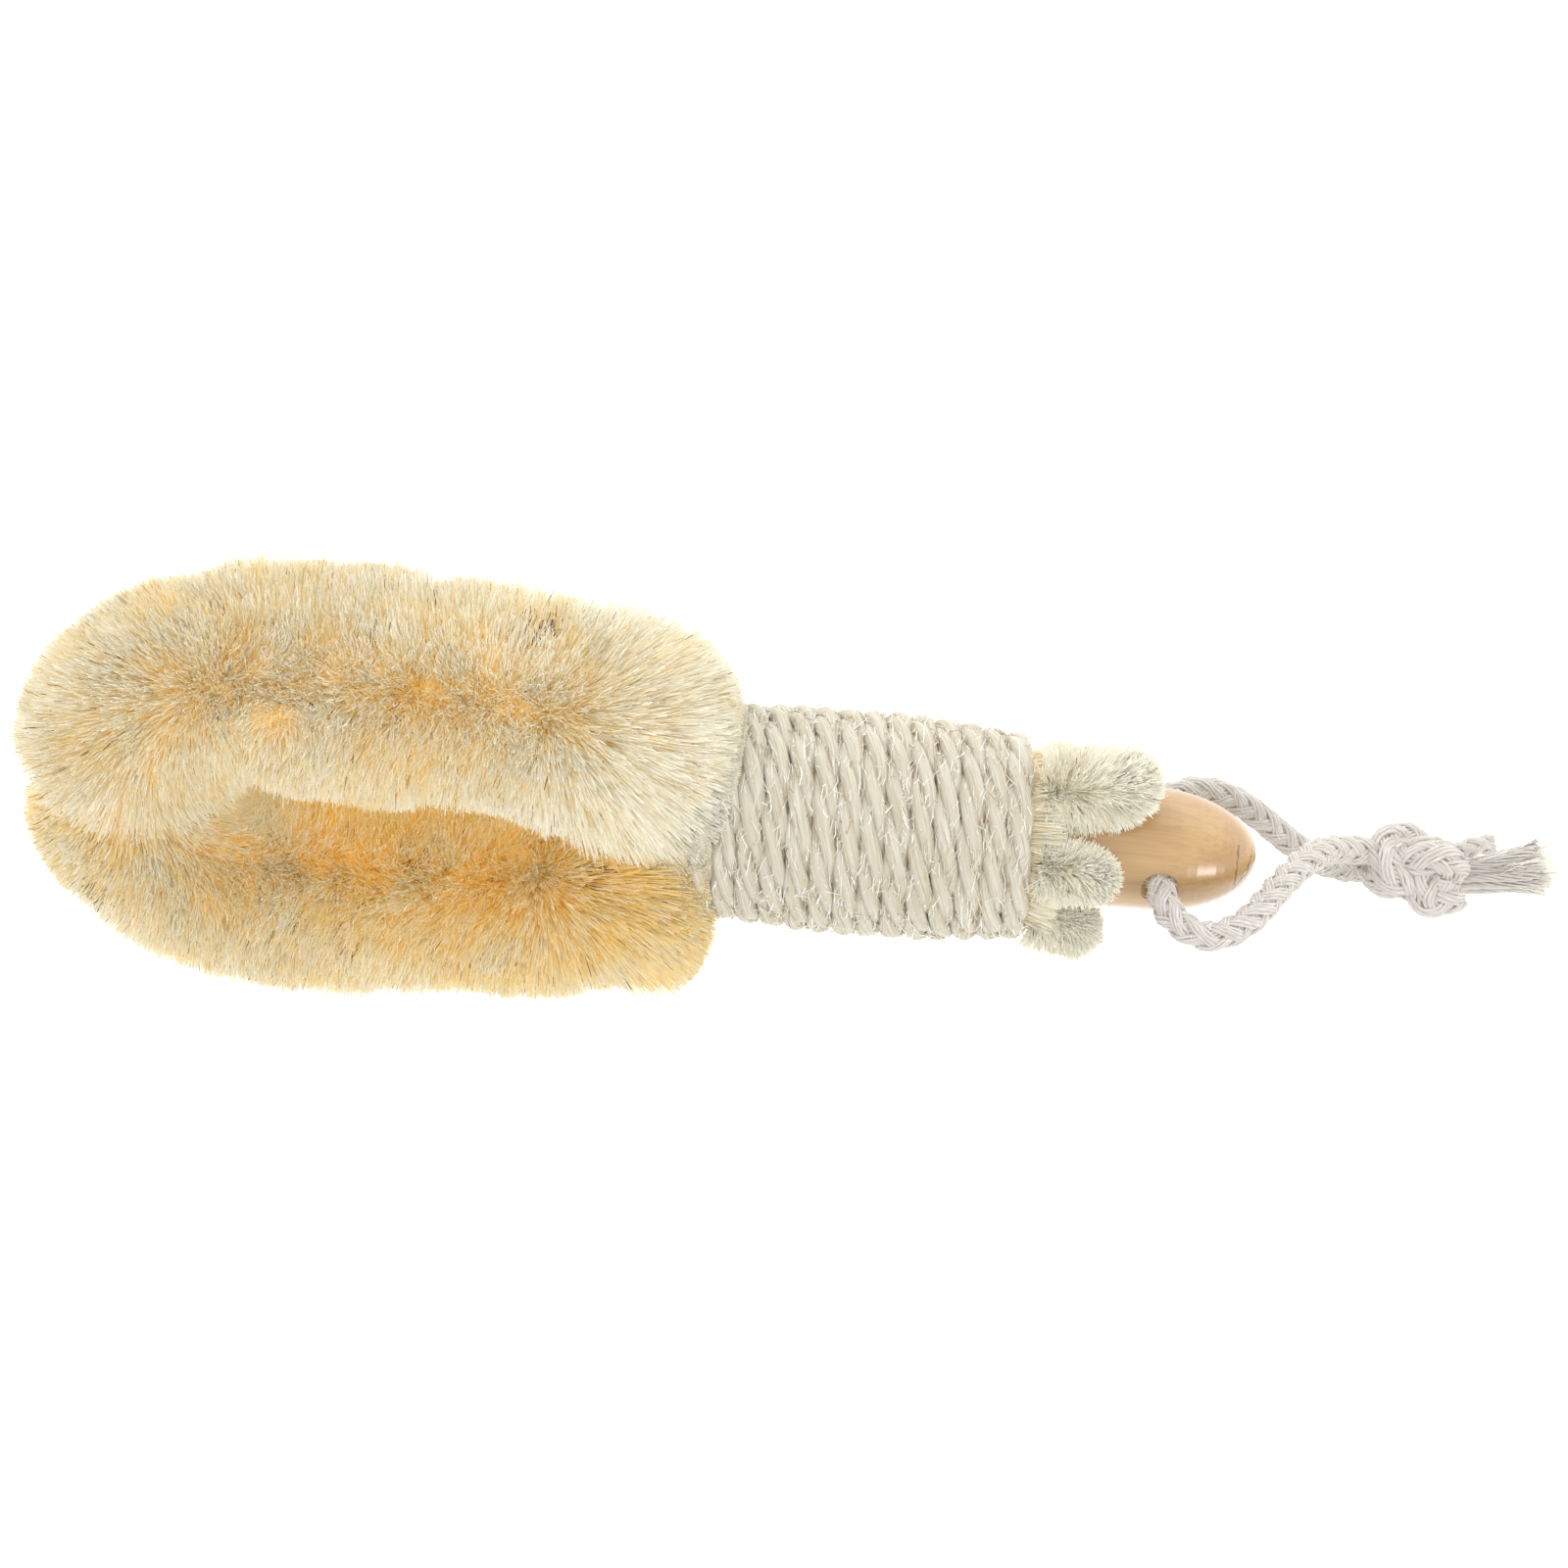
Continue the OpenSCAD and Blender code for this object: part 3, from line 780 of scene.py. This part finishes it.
def make_rope(material, loose):
    path = rope_centreline(0.9)
    t, u, v = transport(path)
    s = arc_length(path)
    for k in range(3):
        centre = path + swing(-2 * pi * s / ROPE_LAY + 2 * pi * k / 3, u, v) * STRAND_AT
        centre[:, 0] = path[:, 0] + (centre[:, 0] - path[:, 0]) * STRAND_SPREAD
        strand = tube_arrays(centre, STRAND_R, 18, roughen=strand_ridges(40 + k))
        piece = tubes("binding_rope_strand_%d" % (k + 1), [strand], material, *ROPE)
        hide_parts("binding_rope")
    rope_hairs(path, t, u, v, loose)


def rope_hairs(path, t, u, v, material):
    """Loose fibres that lie along the outer side of the winding."""
    rng = seeded(31)
    i = rng.integers(30, len(path) - 30, ROPE_HAIRS)
    out = swing(rng.uniform(0, 2 * pi, ROPE_HAIRS), u[i], v[i])
    away = unit(radial(path[i]))
    keep = (out * away).sum(axis=1) > 0.1
    i, out, away = i[keep], out[keep], away[keep]
    n = len(i)
    ahead = t[i] * rng.choice([-1, 1], n)[:, None]
    length = rng.gamma(2.2, 1.5, n)[:, None] + 1.0
    stand = rng.uniform(0.02, 0.4, n)[:, None] ** 1.3
    root = path[i] + out * 2.7
    middle = root + unit(ahead + rng.normal(0, 0.25, (n, 3)) + away * stand) * length * 0.5
    tip = middle + unit(ahead + rng.normal(0, 0.45, (n, 3)) + away * stand) * length * 0.5
    for p in (middle, tip):
        push_out(p, grip_r(p[:, 0]) - 0.3)
        keep_above(p, TABLE_GAP)
    tone = np.where(rng.random(n) < 0.16, rng.uniform(0, 0.25, n), rng.uniform(0.4, 1, n))
    fibres("binding_rope_fuzz", [root, middle, tip], rng.uniform(0.08, 0.15, n), tone, material, *ROPE)


# ---- Fibres under the binding ----

SECTORS = {"upper": (28, 172), "lower": (172, 388)}  # degrees round the dowel, from the right side


def gripped(name, node, start, stop, material):
    """A sleeve sector of packed fibres between the dowel and the rope, ridged lengthwise."""
    across, along = 120, 26
    a = radians(start) + radians(stop - start) * (np.arange(across) + 0.5) / across
    x = np.linspace(rope_low[0] - 1.0, rope_high[0] - 3.0, along)[:, None]
    ridges = value_noise(columns(x * 0.04, 14 * np.cos(a), 14 * np.sin(a)), 1.0, 9).reshape(along, across)
    outer = grip_r(x) - 2 * ROPE_R - 0.6 + 0.7 * (ridges - 0.5)
    r = np.hstack([outer, np.full_like(outer, DOWEL_R + 0.15)])
    a = np.concatenate([a, a[::-1]])
    points = columns(x, r * np.cos(a), AXIS_Z + r * np.sin(a))
    n = 2 * across
    half = np.arange(across - 1)
    first = np.stack([half, n - 1 - half, n - 2 - half, half + 1], axis=-1)
    last = (along - 1) * n + first[:, ::-1]
    loops = np.concatenate([tube_faces(along, n), first.ravel(), last.ravel()])
    piece = mesh(name, points, loops, np.full(len(loops) // 4, 4), material, *BRISTLES)
    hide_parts(node)


def fringe(name, node, start, stop, seed, material):
    """Ends of the packed fibres that stand out past the binding's last turn, round the dowel."""
    rng = seeded(seed)
    n = 2500
    a = np.radians(rng.uniform(start, stop, n))
    out = columns(0, np.cos(a), np.sin(a))
    r = rng.uniform(DOWEL_R + 0.5, grip_r(rope_high[0]) - ROPE_R, n)
    root = columns(rope_high[0] - rng.uniform(2.5, 4.0, n), 0, AXIS_Z) + out * r[:, None]
    reach = rng.uniform(3.5, 9.0, n)
    tip = root + columns(reach, 0, 0) + out * (reach * rng.uniform(0.0, 0.45, n))[:, None]
    tip += rng.normal(0, 0.5, (n, 3)) * [0, 1, 1]
    push_out(tip, DOWEL_R + 0.5)
    tone = np.clip(0.72 + rng.normal(0, 0.16, n), 0.12, 1)
    piece = fibres(name, [root, tip], rng.uniform(0.1, 0.15, n), tone, material, *BRISTLES, start=0.75)
    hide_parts(node)


# ---- Bristles of the head ----

FAN_X = -10.0  # where the bristles begin to sweep over the binding
END_X = {1: 27.0, -1: 23.0}  # how far the tips reach over it, right and left
BEND_HALF = (BEND_R + BRISTLE_R) * pi / 2
END_BLUNT = {1: 0.667, -1: 0.4}  # power of the rounding at that end: the smaller the squarer
# Gaps between bundles and uneven trim, along the loop from the middle of the bend, the right leg
# negative: where, how deep, how wide. Negative depths are bulges.
NOTCHES = ((-145, 2.8, 3.5), (-119.6, 1.2, 3), (-86.3, 2.2, 3), (-182.5, 1.2, 3.5), (-90, 4.4, 18),
           (-60, 1.8, 18), (-160, 2.2, 16), (-198, -1.8, 14), (-14, -1, 12), (2.5, 4.5, 3.5),
           (52, 1.6, 5), (118, 1.2, 4), (160, 1, 4), (165, -3, 75), (158, 4.2, 22),
           (218, -2.6, 10))
FOLD_AT = 2.5  # where the near half of the bend hangs over the far half
FOLD_DROP, FOLD_HANG, FOLD_LEN = 7.0, 9.0, 9.0
FOLD_TWIST = 0.84  # the fold leans as it rises, to this share of the height
FOLD_PAINTED_SHADE, FOLD_PAINTED_LIGHT = -0.42, 0.1  # painted shade on the far side of the fold and painted light on its near side, as tone
ROOT_SHARE = 0.36  # how far out the roots lie, as a share of the bristles' radius
ROOT_LIFT = 2.0  # of the upper hairpin's roots above the axis, and the other way below
SWEEP_BACK, SWEEP_SHARE = 14.0, 0.42  # how far back the swept bristles' roots start, how closed up they are
PIECE_FIBRES = 22000  # at most, in one piece
LEG_GIRTH, BEND_AREA = 100.0, 9800.0  # trimmed outline: a leg's half girth, the area of the bend's upper half


def leg_y(x):
    return mix(BEND_R, LEG_END_Y, ease((x - TAPER_X) / (BINDING_X + 1 - TAPER_X)))


def trim_r(x):
    return BRISTLE_R * (1 - 0.06 * ease((x - TAPER_X) / 60))


def leg_samples(side, up, count, rng):
    """Root, tip, outward direction and x of each fibre of a leg: the tips are spread evenly over
    the trimmed outline, which closes in a dome over the binding."""
    x0, x_end = FAN_X, END_X[side]
    run = x0 - BEND_X
    half, lift = (1, ROOT_LIFT) if up else (-1, -ROOT_LIFT)
    turn = np.linspace(0, 0.98 * pi / 2, 600)
    reach, level = np.sin(turn) ** END_BLUNT[side], np.cos(turn) ** END_BLUNT[side]
    arc = np.concatenate([[0], np.cumsum(np.hypot(np.diff(reach) * (x_end - x0), np.diff(level) * BRISTLE_R))])
    on_dome = rng.random(count) < arc[-1] / (run + arc[-1])
    place = rng.uniform(0, arc[-1], count)
    x = np.where(on_dome, x0 + (x_end - x0) * np.interp(place, arc, reach), BEND_X + run * rng.random(count))
    shrink = np.where(on_dome, np.interp(place, arc, level), 1.0)
    phi = rng.uniform(0, pi, count) * half
    r = trim_r(x) * shrink
    cos, sin = np.cos(phi), np.sin(phi)
    tip = columns(x, side * (leg_y(x) + r * cos), AXIS_Z + r * sin)
    x_root = np.where(x < x0 - SWEEP_BACK, x, x0 - SWEEP_BACK + (x - x0 + SWEEP_BACK) * SWEEP_SHARE)
    root = columns(x_root, side * (leg_y(x_root) + r * ROOT_SHARE * cos), AXIS_Z + (r * ROOT_SHARE * sin + lift))
    return root, tip, columns(0, side * cos, sin), x


def bend_samples(up, count, rng):
    """The same for the bend, with its angle for x, and enough fibres on its short inner side."""
    angle = rng.uniform(pi / 2, 1.5 * pi, count * 3)
    phi = rng.uniform(0, pi, count * 3) * (1 if up else -1)
    weight = np.maximum(8.0, BEND_R + BRISTLE_R * np.cos(phi)) / (BEND_R + BRISTLE_R)
    keep = rng.random(count * 3) < weight ** 0.8
    angle, phi = angle[keep][:count], phi[keep][:count]
    ahead, across, cos = np.cos(angle), np.sin(angle), np.cos(phi)
    r = np.maximum(1.5, BEND_R + BRISTLE_R * cos)
    r_root = BEND_R + BRISTLE_R * ROOT_SHARE * cos
    lift = BRISTLE_R * np.sin(phi)
    tip = columns(BEND_X + r * ahead, r * across, AXIS_Z + lift)
    root = columns(BEND_X + r_root * ahead, r_root * across,
                   AXIS_Z + ROOT_SHARE * lift + (ROOT_LIFT if up else -ROOT_LIFT))
    return root, tip, columns(cos * ahead, cos * across, np.sin(phi)), angle


def notch_pull(where):
    """How far the trim dips at the gaps between bundles, and which way tips lean from them."""
    dip, lean = 0.0, 0.0
    for place, depth, width in NOTCHES:
        d = where - place
        dip = dip + depth * np.exp(-(d / width) ** 2)
        lean = lean + 0.7 * depth * (d / width) * np.exp(-0.5 * (d / width) ** 2)
    return dip, lean


def fold(arc, tip, outward):
    """The step at the fold of the bend, how far the tips above it hang over, and its painted shade on the far
    side and painted light on the near side, as tone.
    """
    outer = np.clip((np.hypot(tip[:, 0] - BEND_X, tip[:, 1]) - 8) / 16, 0, 1)
    d = arc - FOLD_AT
    near = np.exp(-np.abs(d) / FOLD_LEN)
    hang = FOLD_HANG * near * np.clip(outward[:, 2] * 1.4 - 0.3, 0, 1)
    # Painted shade on the fold's far side and painted light on its near side, fading away from the fold.
    painted_fold_shading = np.where(d > 0, FOLD_PAINTED_SHADE, FOLD_PAINTED_LIGHT) * near * outer
    return np.where(d > 0, FOLD_DROP * near, 0.0), np.where(d > 0, 0.0, hang), painted_fold_shading


def clump(root, tip, size, strength, rng):
    """Draws the tips of neighbouring fibres together."""
    count = max(8, int(len(tip) / size))
    chosen = rng.choice(len(tip), count, replace=False)
    tree = kdtree.KDTree(count)
    for j, i in enumerate(chosen):
        tree.insert(tip[i], j)
    tree.balance()
    nearest = np.array([tree.find(p)[1] for p in tip])
    centre = tip[chosen[nearest]]
    pull = strength * rng.uniform(0.2, 1.0, len(tip))[:, None]
    length = norm(tip - root)
    moved = tip + (centre - tip) * pull
    return root + unit(moved - root) * length


def finish_tips(root, tip, outward, rng, dip, lean, lean_axis):
    """Trim unevenness, the lean of the tips, clumps and stray fibres."""
    n = len(tip)
    broad = value_noise(tip, 16.0, 3) - 0.5
    short = rng.exponential(0.8, n)
    short = np.where(rng.random(n) < 0.35, rng.uniform(0, 8, n), short)
    longer = np.where(rng.random(n) < 0.025, rng.uniform(0.5, 2.8, n), 0)
    tip = tip - outward * (dip + short - longer - 1.6 * broad)[:, None]
    length = norm(tip - root)
    moved = tip + lean_axis * lean[:, None] + noise_vectors(tip, 26.0, 70) * 11.0 \
        + noise_vectors(tip, 9.0, 50) * 5.5 + noise_vectors(tip, 3.0, 60) * 3.4 + rng.normal(0, 3.2, (n, 3))
    tip = root + unit(moved - root) * length
    tip = root + unit(parted(tip) - root) * length
    tip = clump(root, tip, 160, 0.14, rng)
    return clump(root, tip, 22, 0.3, rng)


MEET_X = -4.0  # beyond this the two legs' bristles mingle
BURIED_R = 19.0  # fibres whose tips are this deep in the binding are left out


def settle(tip, side, rng):
    """Keeps the tips off the table, off the other leg and out of the binding. Returns them and
    which fibres to keep."""
    n = len(tip)
    keep_above(tip, 0.25 + rng.uniform(0, 0.5, n))
    if side:
        across = np.where(tip[:, 0] > MEET_X, -3.0, 0.2)
        tip[:, 1] = side * np.maximum(side * tip[:, 1], across + rng.uniform(0, 1.2, n))
    over = tip[:, 0] > rope_low[0] - 1.0
    r = push_out(tip, np.where(over, grip_r(tip[:, 0]) + 0.3, 0.0))
    return tip, ~(over & (r < BURIED_R))


# Spots seen in the photo: where, how wide, the share of the fibres in it, and their tone.
SPOTS = (((-24.8, 60, 33), 4.5, 0.4, 0.03), ((-27, 58, 41), 9, 0.4, 1),
         ((-6, -4, 55), 3, 0.45, 0.03), ((-52, -6, 51), 3, 0.35, 0.04),
         ((-137, -26, 58), 4, 0.25, 0.03), ((-142, 44, 27), 2.5, 0.35, 0.03),
         ((-88.8, 36.5, 58), 7, 0.5, 0.42), ((-88.8, 36.5, 58), 14, 0.25, 1),
         ((11, 19, 52), 14, 0.6, 0.95), ((-99, -5, 42), 12, 0.6, 0.5))
PARTED = np.array([-88.8, 36.5, 58.0])  # fibres stand away from this place
PART_REACH, PART_PUSH = 9.0, 4.5


def parted(tip):
    """Pushes the tips round the parted place away from it."""
    away = tip - PARTED
    far = norm(away)
    return tip + away / np.maximum(far, 0.5) * PART_PUSH * np.exp(-(far / PART_REACH) ** 2)


TONE_MID = 0.60
LEFT_PAINTED_SHADE, LEFT_SHADE_LOST = 0.38, 0.34  # painted shade: how much more golden the left leg is on its inner side, by the gap between the legs, and how much of that its outer side lacks
PALE_RIGHT = 0.14  # how much paler the right leg gets towards the binding
BAND_Y, BAND_WIDTH, BAND_Z = 20, 10, 44  # the band along each leg's top where the tips face the camera, whose dull fibres are painted shade of the gaps between tips and bright ones painted glints
# Shares: dull fibres everywhere, more dull ones in the band as painted shade, bright ones there as painted
# glints.
DULL_SHARE, BAND_PAINTED_SHADE, BAND_PAINTED_GLINT = 0.035, 0.08, 0.14


def bristle_tone(tip, rng, side, painted_fold_shading):
    """Golden at the fold's far side and on the left leg, both painted shade, pale at the fold's near side as
    painted light and towards the near side of the binding, with a mix of dull fibres as painted shade and bright
    ones as painted glints along each leg's top."""
    n = len(tip)
    patch = value_noise(tip, 11.0, 7) - 0.5
    fine = value_noise(tip, 3.0, 8) - 0.5
    tone = TONE_MID + 0.42 * patch + 0.2 * fine + rng.normal(0, 0.17, n)
    across = np.clip(-tip[:, 1] / 60, 0, 1)
    pale = PALE_RIGHT * np.clip((tip[:, 0] + 50) / 50, 0, 1) * (tip[:, 1] > 0)
    along = np.clip((tip[:, 0] - BEND_X) / 25, 0, 1) if side < 0 else 0.0
    # Painted shade: the left leg, and less of it on the bend's far half, made golden, most on the inner side.
    left_shade = (LEFT_PAINTED_SHADE - LEFT_SHADE_LOST * across) * mix(0.35 * np.clip(10 * across, 0, 1), 1.0, along)
    # Adds the fold's painted shade and painted light, and the left leg's painted shade.
    tone = tone + painted_fold_shading + pale - left_shade
    fleck = rng.random(n) < 0.003 + 0.03 * np.clip(patch - 0.18, 0, 1) * 3
    tone = np.where(fleck, rng.uniform(0, 0.06, n), np.clip(tone, 0.12, 1.0))
    rise = tip[:, 1] - np.where(tip[:, 1] > 0, BEND_R, -BEND_R)
    band = np.exp(-((rise - BAND_Y) / BAND_WIDTH) ** 2) * (tip[:, 2] > BAND_Z)
    # In the band, dull fibres are painted shade between the tips and bright ones are painted glints.
    tone = np.where(rng.random(n) < DULL_SHARE + BAND_PAINTED_SHADE * band, rng.uniform(0.06, 0.1, n), tone)
    tone = np.where(rng.random(n) < BAND_PAINTED_GLINT * band, rng.uniform(0.85, 1.0, n), tone)
    for centre, radius, share, spot_tone in SPOTS:
        near = np.exp(-(np.linalg.norm(tip - centre, axis=1) / radius) ** 2)
        tone = np.where(rng.random(n) < share * near, spot_tone, tone)
    return tone


def zone(name, node, up, side, area, seed, material):
    """The fibres that stand for one CAD node of bristles, in pieces of a workable size. side is 1
    for the right leg, -1 for the left one and 0 for the bend."""
    total = int(area * DENSITY)
    parts = max(1, math.ceil(total / PIECE_FIBRES))
    for part in range(parts):
        rng = seeded(seed * 10 + part)
        count = total // parts
        if side:
            root, tip, outward, x = leg_samples(side, up, count, rng)
            painted_fold_shading = np.zeros(count)
            lean_axis = np.tile([-float(side), 0, 0], (count, 1))
            dip, lean = notch_pull(-side * (BEND_HALF + x - BEND_X))
        else:
            root, tip, outward, angle = bend_samples(up, count, rng)
            lean_axis = columns(-np.sin(angle), np.cos(angle), 0)
            arc = (angle - pi) * (BEND_R + BRISTLE_R)
            arc = arc + FOLD_TWIST * np.clip(tip[:, 2] - AXIS_Z, -14, 8)
            dip, lean = notch_pull(arc)
            drop, hang, painted_fold_shading = fold(arc, tip, outward)
            dip, lean = dip + drop, lean + hang
        tip = finish_tips(root, tip, outward, rng, dip, lean, lean_axis)
        tip, keep = settle(tip, side, rng)
        root, tip = root[keep], tip[keep]
        tone = bristle_tone(tip, rng, side, painted_fold_shading[keep])
        width = rng.uniform(0.09, 0.15, len(tip)) * 1.0
        piece = fibres("%s_%d" % (name, part + 1), [root, tip], width, tone, material, *BRISTLES)
        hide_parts(node)


UNDERCOAT_R = 14.5


def undercoat(name, up, material):
    """The dense inner fibres round each stem, as one rough closed body per hairpin."""
    legs = np.arange(BEND_X + 4, 22, 4.0)
    bend = np.linspace(pi / 2, 1.5 * pi, 26)
    right = columns(legs[::-1], leg_y(legs[::-1]), AXIS_Z)
    turn = columns(BEND_X + BEND_R * np.cos(bend), BEND_R * np.sin(bend), AXIS_Z)
    left = right[::-1] * [1, -1, 1]
    path, s = smooth_path(np.vstack([right, turn, left]), 1.5)
    path[:, 2] += 3.5 if up else -3.5

    def roughen(s, a):
        flat = columns(s, UNDERCOAT_R * np.cos(a), UNDERCOAT_R * np.sin(a))
        lumps = 2.4 * (value_noise(flat, 2.2, 77) - 0.5) + 3.0 * (value_noise(flat, 8.0, 78) - 0.5)
        return lumps.reshape(len(s), -1)
    tubes(name, [tube_arrays(path, UNDERCOAT_R, 64, roughen=roughen)], material, *BRISTLES)


# ---- Tail tufts ----

# Place round the dowel in degrees from the right side, length and radius.
TUFTS = {"upper_right": (58, 22, 9), "upper_left": (128, 20, 10),
         "lower_right": (-6, 31, 12), "lower_left": (212, 24, 9)}
SEAT_DRIFT = 14.0  # the wires keep turning round the dowel past the binding


def tuft_r(share, radius):
    """Radius of a tuft at a share of its length."""
    dome = np.sqrt(np.maximum(0.02, 1 - np.maximum(0, share - 0.5) ** 2 * 3.4))
    return radius * (1.06 - 0.06 * ease(share / 0.5)) * dome


def tail_tuft(name, node, seat, length, radius, seed, material):
    """Fibres that stand round the stem's last stretch, leaning outward past the binding."""
    rng = seeded(seed)
    a = radians(seat + SEAT_DRIFT)
    out = np.array([0, math.cos(a), math.sin(a)])
    side = np.array([0, -math.sin(a), math.cos(a)])
    start_x = rope_high[0] - 1.0
    n = 7500
    on_end = rng.random(n) < 0.4
    share = np.where(on_end, 1 - 0.16 * rng.random(n) ** 2, rng.uniform(0.0, 1, n))
    q = np.where(on_end, np.sqrt(rng.random(n)), 1.0)
    share = np.where(on_end, share - 0.2 * q ** 3, share)
    w = rng.uniform(0, 2 * pi, n)
    r = tuft_r(share, radius) * q
    lean = math.tan(radians(10))
    def place(x, outward, sideways):
        p = columns(start_x + x, 0, 0) + out * outward[:, None] + side * sideways[:, None]
        p[:, 2] += AXIS_Z
        return p
    tip = place(share * length, SEAT_R + 1.0 + r * np.cos(w) + share * length * lean, r * np.sin(w))
    back = -1.0 + share * length * 0.72
    root = place(back, SEAT_R + 1.2 + 0.14 * r * np.cos(w) + np.maximum(0, back) * lean, 0.25 * r * np.sin(w))
    full = norm(tip - root)
    cut = np.where(rng.random(n) < 0.3, rng.uniform(0, 0.4, n), rng.exponential(0.03, n))[:, None]
    moved = tip + noise_vectors(tip, 4.0, seed) * 5.0 + noise_vectors(tip, 1.8, seed + 5) * 3.0
    tip = root + unit(moved + rng.normal(0, 1.4, (n, 3)) - root) * full * (1 - cut)
    tip = clump(root, tip, 30, 0.25, rng)
    middle = (root + tip) / 2 + np.array([0.06, 0, 0]) * full
    for p in (middle, tip):
        r = push_out(p, DOWEL_R + 0.5)
        p[(p[:, 0] < rope_high[0] + 0.3) & (r < grip_r(p[:, 0])), 0] = rope_high[0] + 0.3
        keep_above(p, 0.25)
    patch = value_noise(tip, 4.0, seed) - 0.5
    tone = np.clip(0.86 + 0.36 * patch + 0.1 * (share - 0.5) + rng.normal(0, 0.1, n), 0.12, 1)
    tone = np.where(rng.random(n) < 0.012, 0.03, tone)
    piece = fibres(name, [root, middle, tip], rng.uniform(0.09, 0.15, n), tone, material, *BRISTLES, start=0.78)
    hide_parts(node)


# ---- The whole ----

def dress_cad(materials):
    """Gives the carried-over CAD nodes their materials."""
    for node, material in materials.items():
        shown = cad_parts[node]
        shown.data.materials.clear()
        shown.data.materials.append(material)


def make_head(material, core):
    leg_area = LEG_GIRTH * (END_X[1] - BEND_X)
    ends = (("right", 1, leg_area), ("left", -1, leg_area), ("tip", 0, BEND_AREA))
    for j, (word, up) in enumerate((("upper", True), ("lower", False))):
        for k, (end, side, area) in enumerate(ends):
            zone("bristles_%s_%s" % (word, end), "%s_bristles_%s" % (word, end), up, side, area,
                 100 + 10 * k + j, material)
        undercoat("bristles_%s_undercoat" % word, up, core)
    for j, (word, sector) in enumerate(SECTORS.items()):
        fringe("gripped_fibres_%s_ends" % word, "gripped_fibres_" + word, *sector, 301 + j, material)
    for word, sector in SECTORS.items():
        gripped("gripped_fibres_%s_packed" % word, "gripped_fibres_" + word, *sector, core)


def make_all():
    make_camera()
    cord, loose = cord_material(), yarn_material()
    make_cords(cord, loose)
    make_stage()
    bristle = bristle_material()
    make_rope(rope_material(), loose)
    make_head(bristle, coarse_bristle_material())
    for j, (word, (seat, length, radius)) in enumerate(TUFTS.items()):
        tail_tuft("tail_tuft_%s_fibres" % word, "tail_tuft_" + word, seat, length, radius, 200 + j, bristle)
    steel = steel_material()
    wires = {"%s_wire_%s" % (word, ply): steel for word in ("upper", "lower") for ply in ("a", "b")}
    dress_cad({"handle_dowel": wood_material(), **wires})


make_all()
